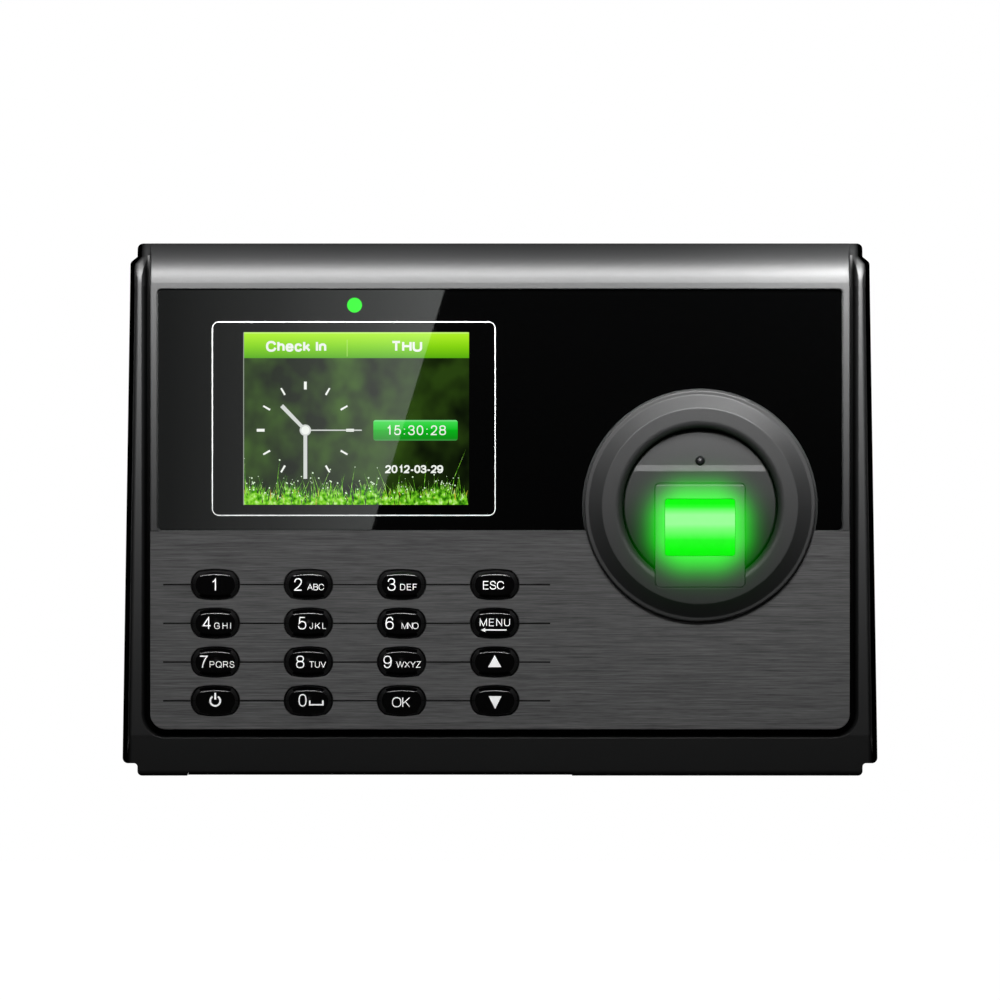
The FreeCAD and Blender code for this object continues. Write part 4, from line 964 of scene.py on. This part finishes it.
def floor_and_world():
    """White floor, clear from below, and a world that is white to the camera and dim to the part."""
    s = Shader("studio_floor")
    s.set(
        Base_Color=s.mix(s.noise(3, 2.0), neutral(0.8), neutral(0.84)), Roughness=0.7,
        Emission_Color=WHITE, Emission_Strength=1.0)
    clear = s.node("ShaderNodeBsdfTransparent")
    seen = s.node("ShaderNodeMixShader", {0: s.from_behind(), 1: s.bsdf.outputs[0], 2: clear})
    s.tree.links.new(seen, s.output.inputs[0])
    drop, reach = 0.12, 6.0
    z = CAD_BOX[0][2] - drop
    corners = [(x, y, z) for x, y in rectangle((-reach, -reach), (reach, reach))]
    stage_plane("floor", corners, s.material, glossy=False, diffuse=False)

    world = bpy.data.worlds.new("studio")
    bpy.context.scene.world = world
    world.use_nodes = True
    tree = world.node_tree
    background = tree.nodes["Background"]
    background.inputs["Color"].default_value = WHITE
    rays = tree.nodes.new("ShaderNodeLightPath")
    pick = tree.nodes.new("ShaderNodeMix")
    plug(tree, pick.inputs[0], rays.outputs["Is Camera Ray"])
    pick.inputs[2].default_value = DIM_WORLD
    pick.inputs[3].default_value = 1.0
    plug(tree, background.inputs["Strength"], pick.outputs[0])


def area_light(name, place, target, size, power, spread=180, glossy=True):
    """Light with its place, target and size in metres, power in watts and spread in degrees."""
    light = bpy.data.lights.new(name, "AREA")
    light.shape = "RECTANGLE"
    light.size, light.size_y = size
    light.energy = power
    light.spread = math.radians(spread)
    holder = bpy.data.objects.new(name, light)
    holder.location = place
    holder.rotation_euler = (Vector(target) - Vector(place)).to_track_quat("-Z", "Y").to_euler()
    holder.visible_camera = False
    holder.visible_glossy = glossy
    bpy.context.scene.collection.objects.link(holder)


CARD_Y = -8.0
SHEEN_X = (-84.7 * MM, -17.3 * MM)              # the sheen grows from left to right between these
SHEEN_TOP, SHEEN_FOOT = 75 * MM, -6.6 * MM
SHEEN_LEFT, SHEEN_TOP_RIGHT, SHEEN_FOOT_RIGHT = -100 * MM, -8.3 * MM, -33.2 * MM


def glare_card():
    """Lit card in front of the terminal, seen only as the slanted sheen in the window."""
    far = 1 + (FACE_Y - CARD_Y) / CAMERA_DISTANCE
    brightest = 3.0
    s = Shader("glare_card")
    across = s.remap(s.axes()[0], SHEEN_X[0] * far, SHEEN_X[1] * far, 0.0, 1.0)
    stops = [(0.0, 0.33), (0.22, 0.58), (0.4, 0.79), (0.59, 1.2), (0.77, 1.57), (1.0, 2.25)]
    shade = s.ramp(across, [(place, neutral(value / brightest)) for place, value in stops])
    emit = s.node("ShaderNodeEmission", {"Color": shade, "Strength": brightest})
    s.tree.links.new(emit, s.output.inputs[0])

    def seen_at(x, z):
        """Point of the card that is mirrored at (x, z) of the window."""
        return (x * far, CARD_Y, CAMERA_Z + (z - CAMERA_Z) * far)

    corners = [
        seen_at(SHEEN_LEFT, SHEEN_TOP), seen_at(SHEEN_TOP_RIGHT, SHEEN_TOP),
        seen_at(SHEEN_FOOT_RIGHT, SHEEN_FOOT), seen_at(SHEEN_LEFT, SHEEN_FOOT)]
    stage_plane(
        "glare_card", corners, s.material, camera=False, diffuse=False, shadow=False, transmission=False)


def camera():
    data = bpy.data.cameras.new("camera")
    data.lens, data.sensor_width = LENS, SENSOR
    data.clip_start, data.clip_end = 0.01, 50
    holder = bpy.data.objects.new("camera", data)
    holder.location = (0, FACE_Y - CAMERA_DISTANCE, CAMERA_Z)
    holder.rotation_euler = (math.radians(90), 0, 0)
    bpy.context.scene.collection.objects.link(holder)
    bpy.context.scene.camera = holder


def studio():
    """Strips that light the rolled top, a soft fill in front, and lamps for the sides and the underside."""
    floor_and_world()
    area_light("near_strip", (0, -0.12, 0.115), (0, -0.04, 0.065), (0.3, 0.02), 0.056, 60)
    area_light("low_strip", (0, -0.12, 0.105), (0, -0.04, 0.06), (0.3, 0.02), 0.096, 60)
    area_light("right_strip", (0.11, -0.12, 0.115), (0.1, -0.04, 0.065), (0.06, 0.02), 0.0415, 60)
    area_light("far_strip", (0, -0.21, 0.125), (0, -0.04, 0.05), (0.36, 0.02), 0.29, 70)
    area_light("front_fill", (0, -2, 0.1), (0, 0, 0), (1, 1), 3.0, glossy=False)
    for side in (-1, 1):
        area_light("back_light", (0.9 * side, 1.3, -0.03), (0, 0, 0), (0.7, 0.2), 9)
        area_light("side_light", (0.9 * side, 0.45, 0.0), (0, 0, 0), (0.4, 0.12), 2.5)
    area_light("under_light", (0, 0.4, -0.17), (0, -0.03, -0.06), (0.7, 0.2), 1.2)
    glare_card()
    camera()
    bpy.context.scene.view_settings.view_transform = "Standard"


dress_frame()
display_picture()
window_film()
window_outline()
key_legends()
studio()
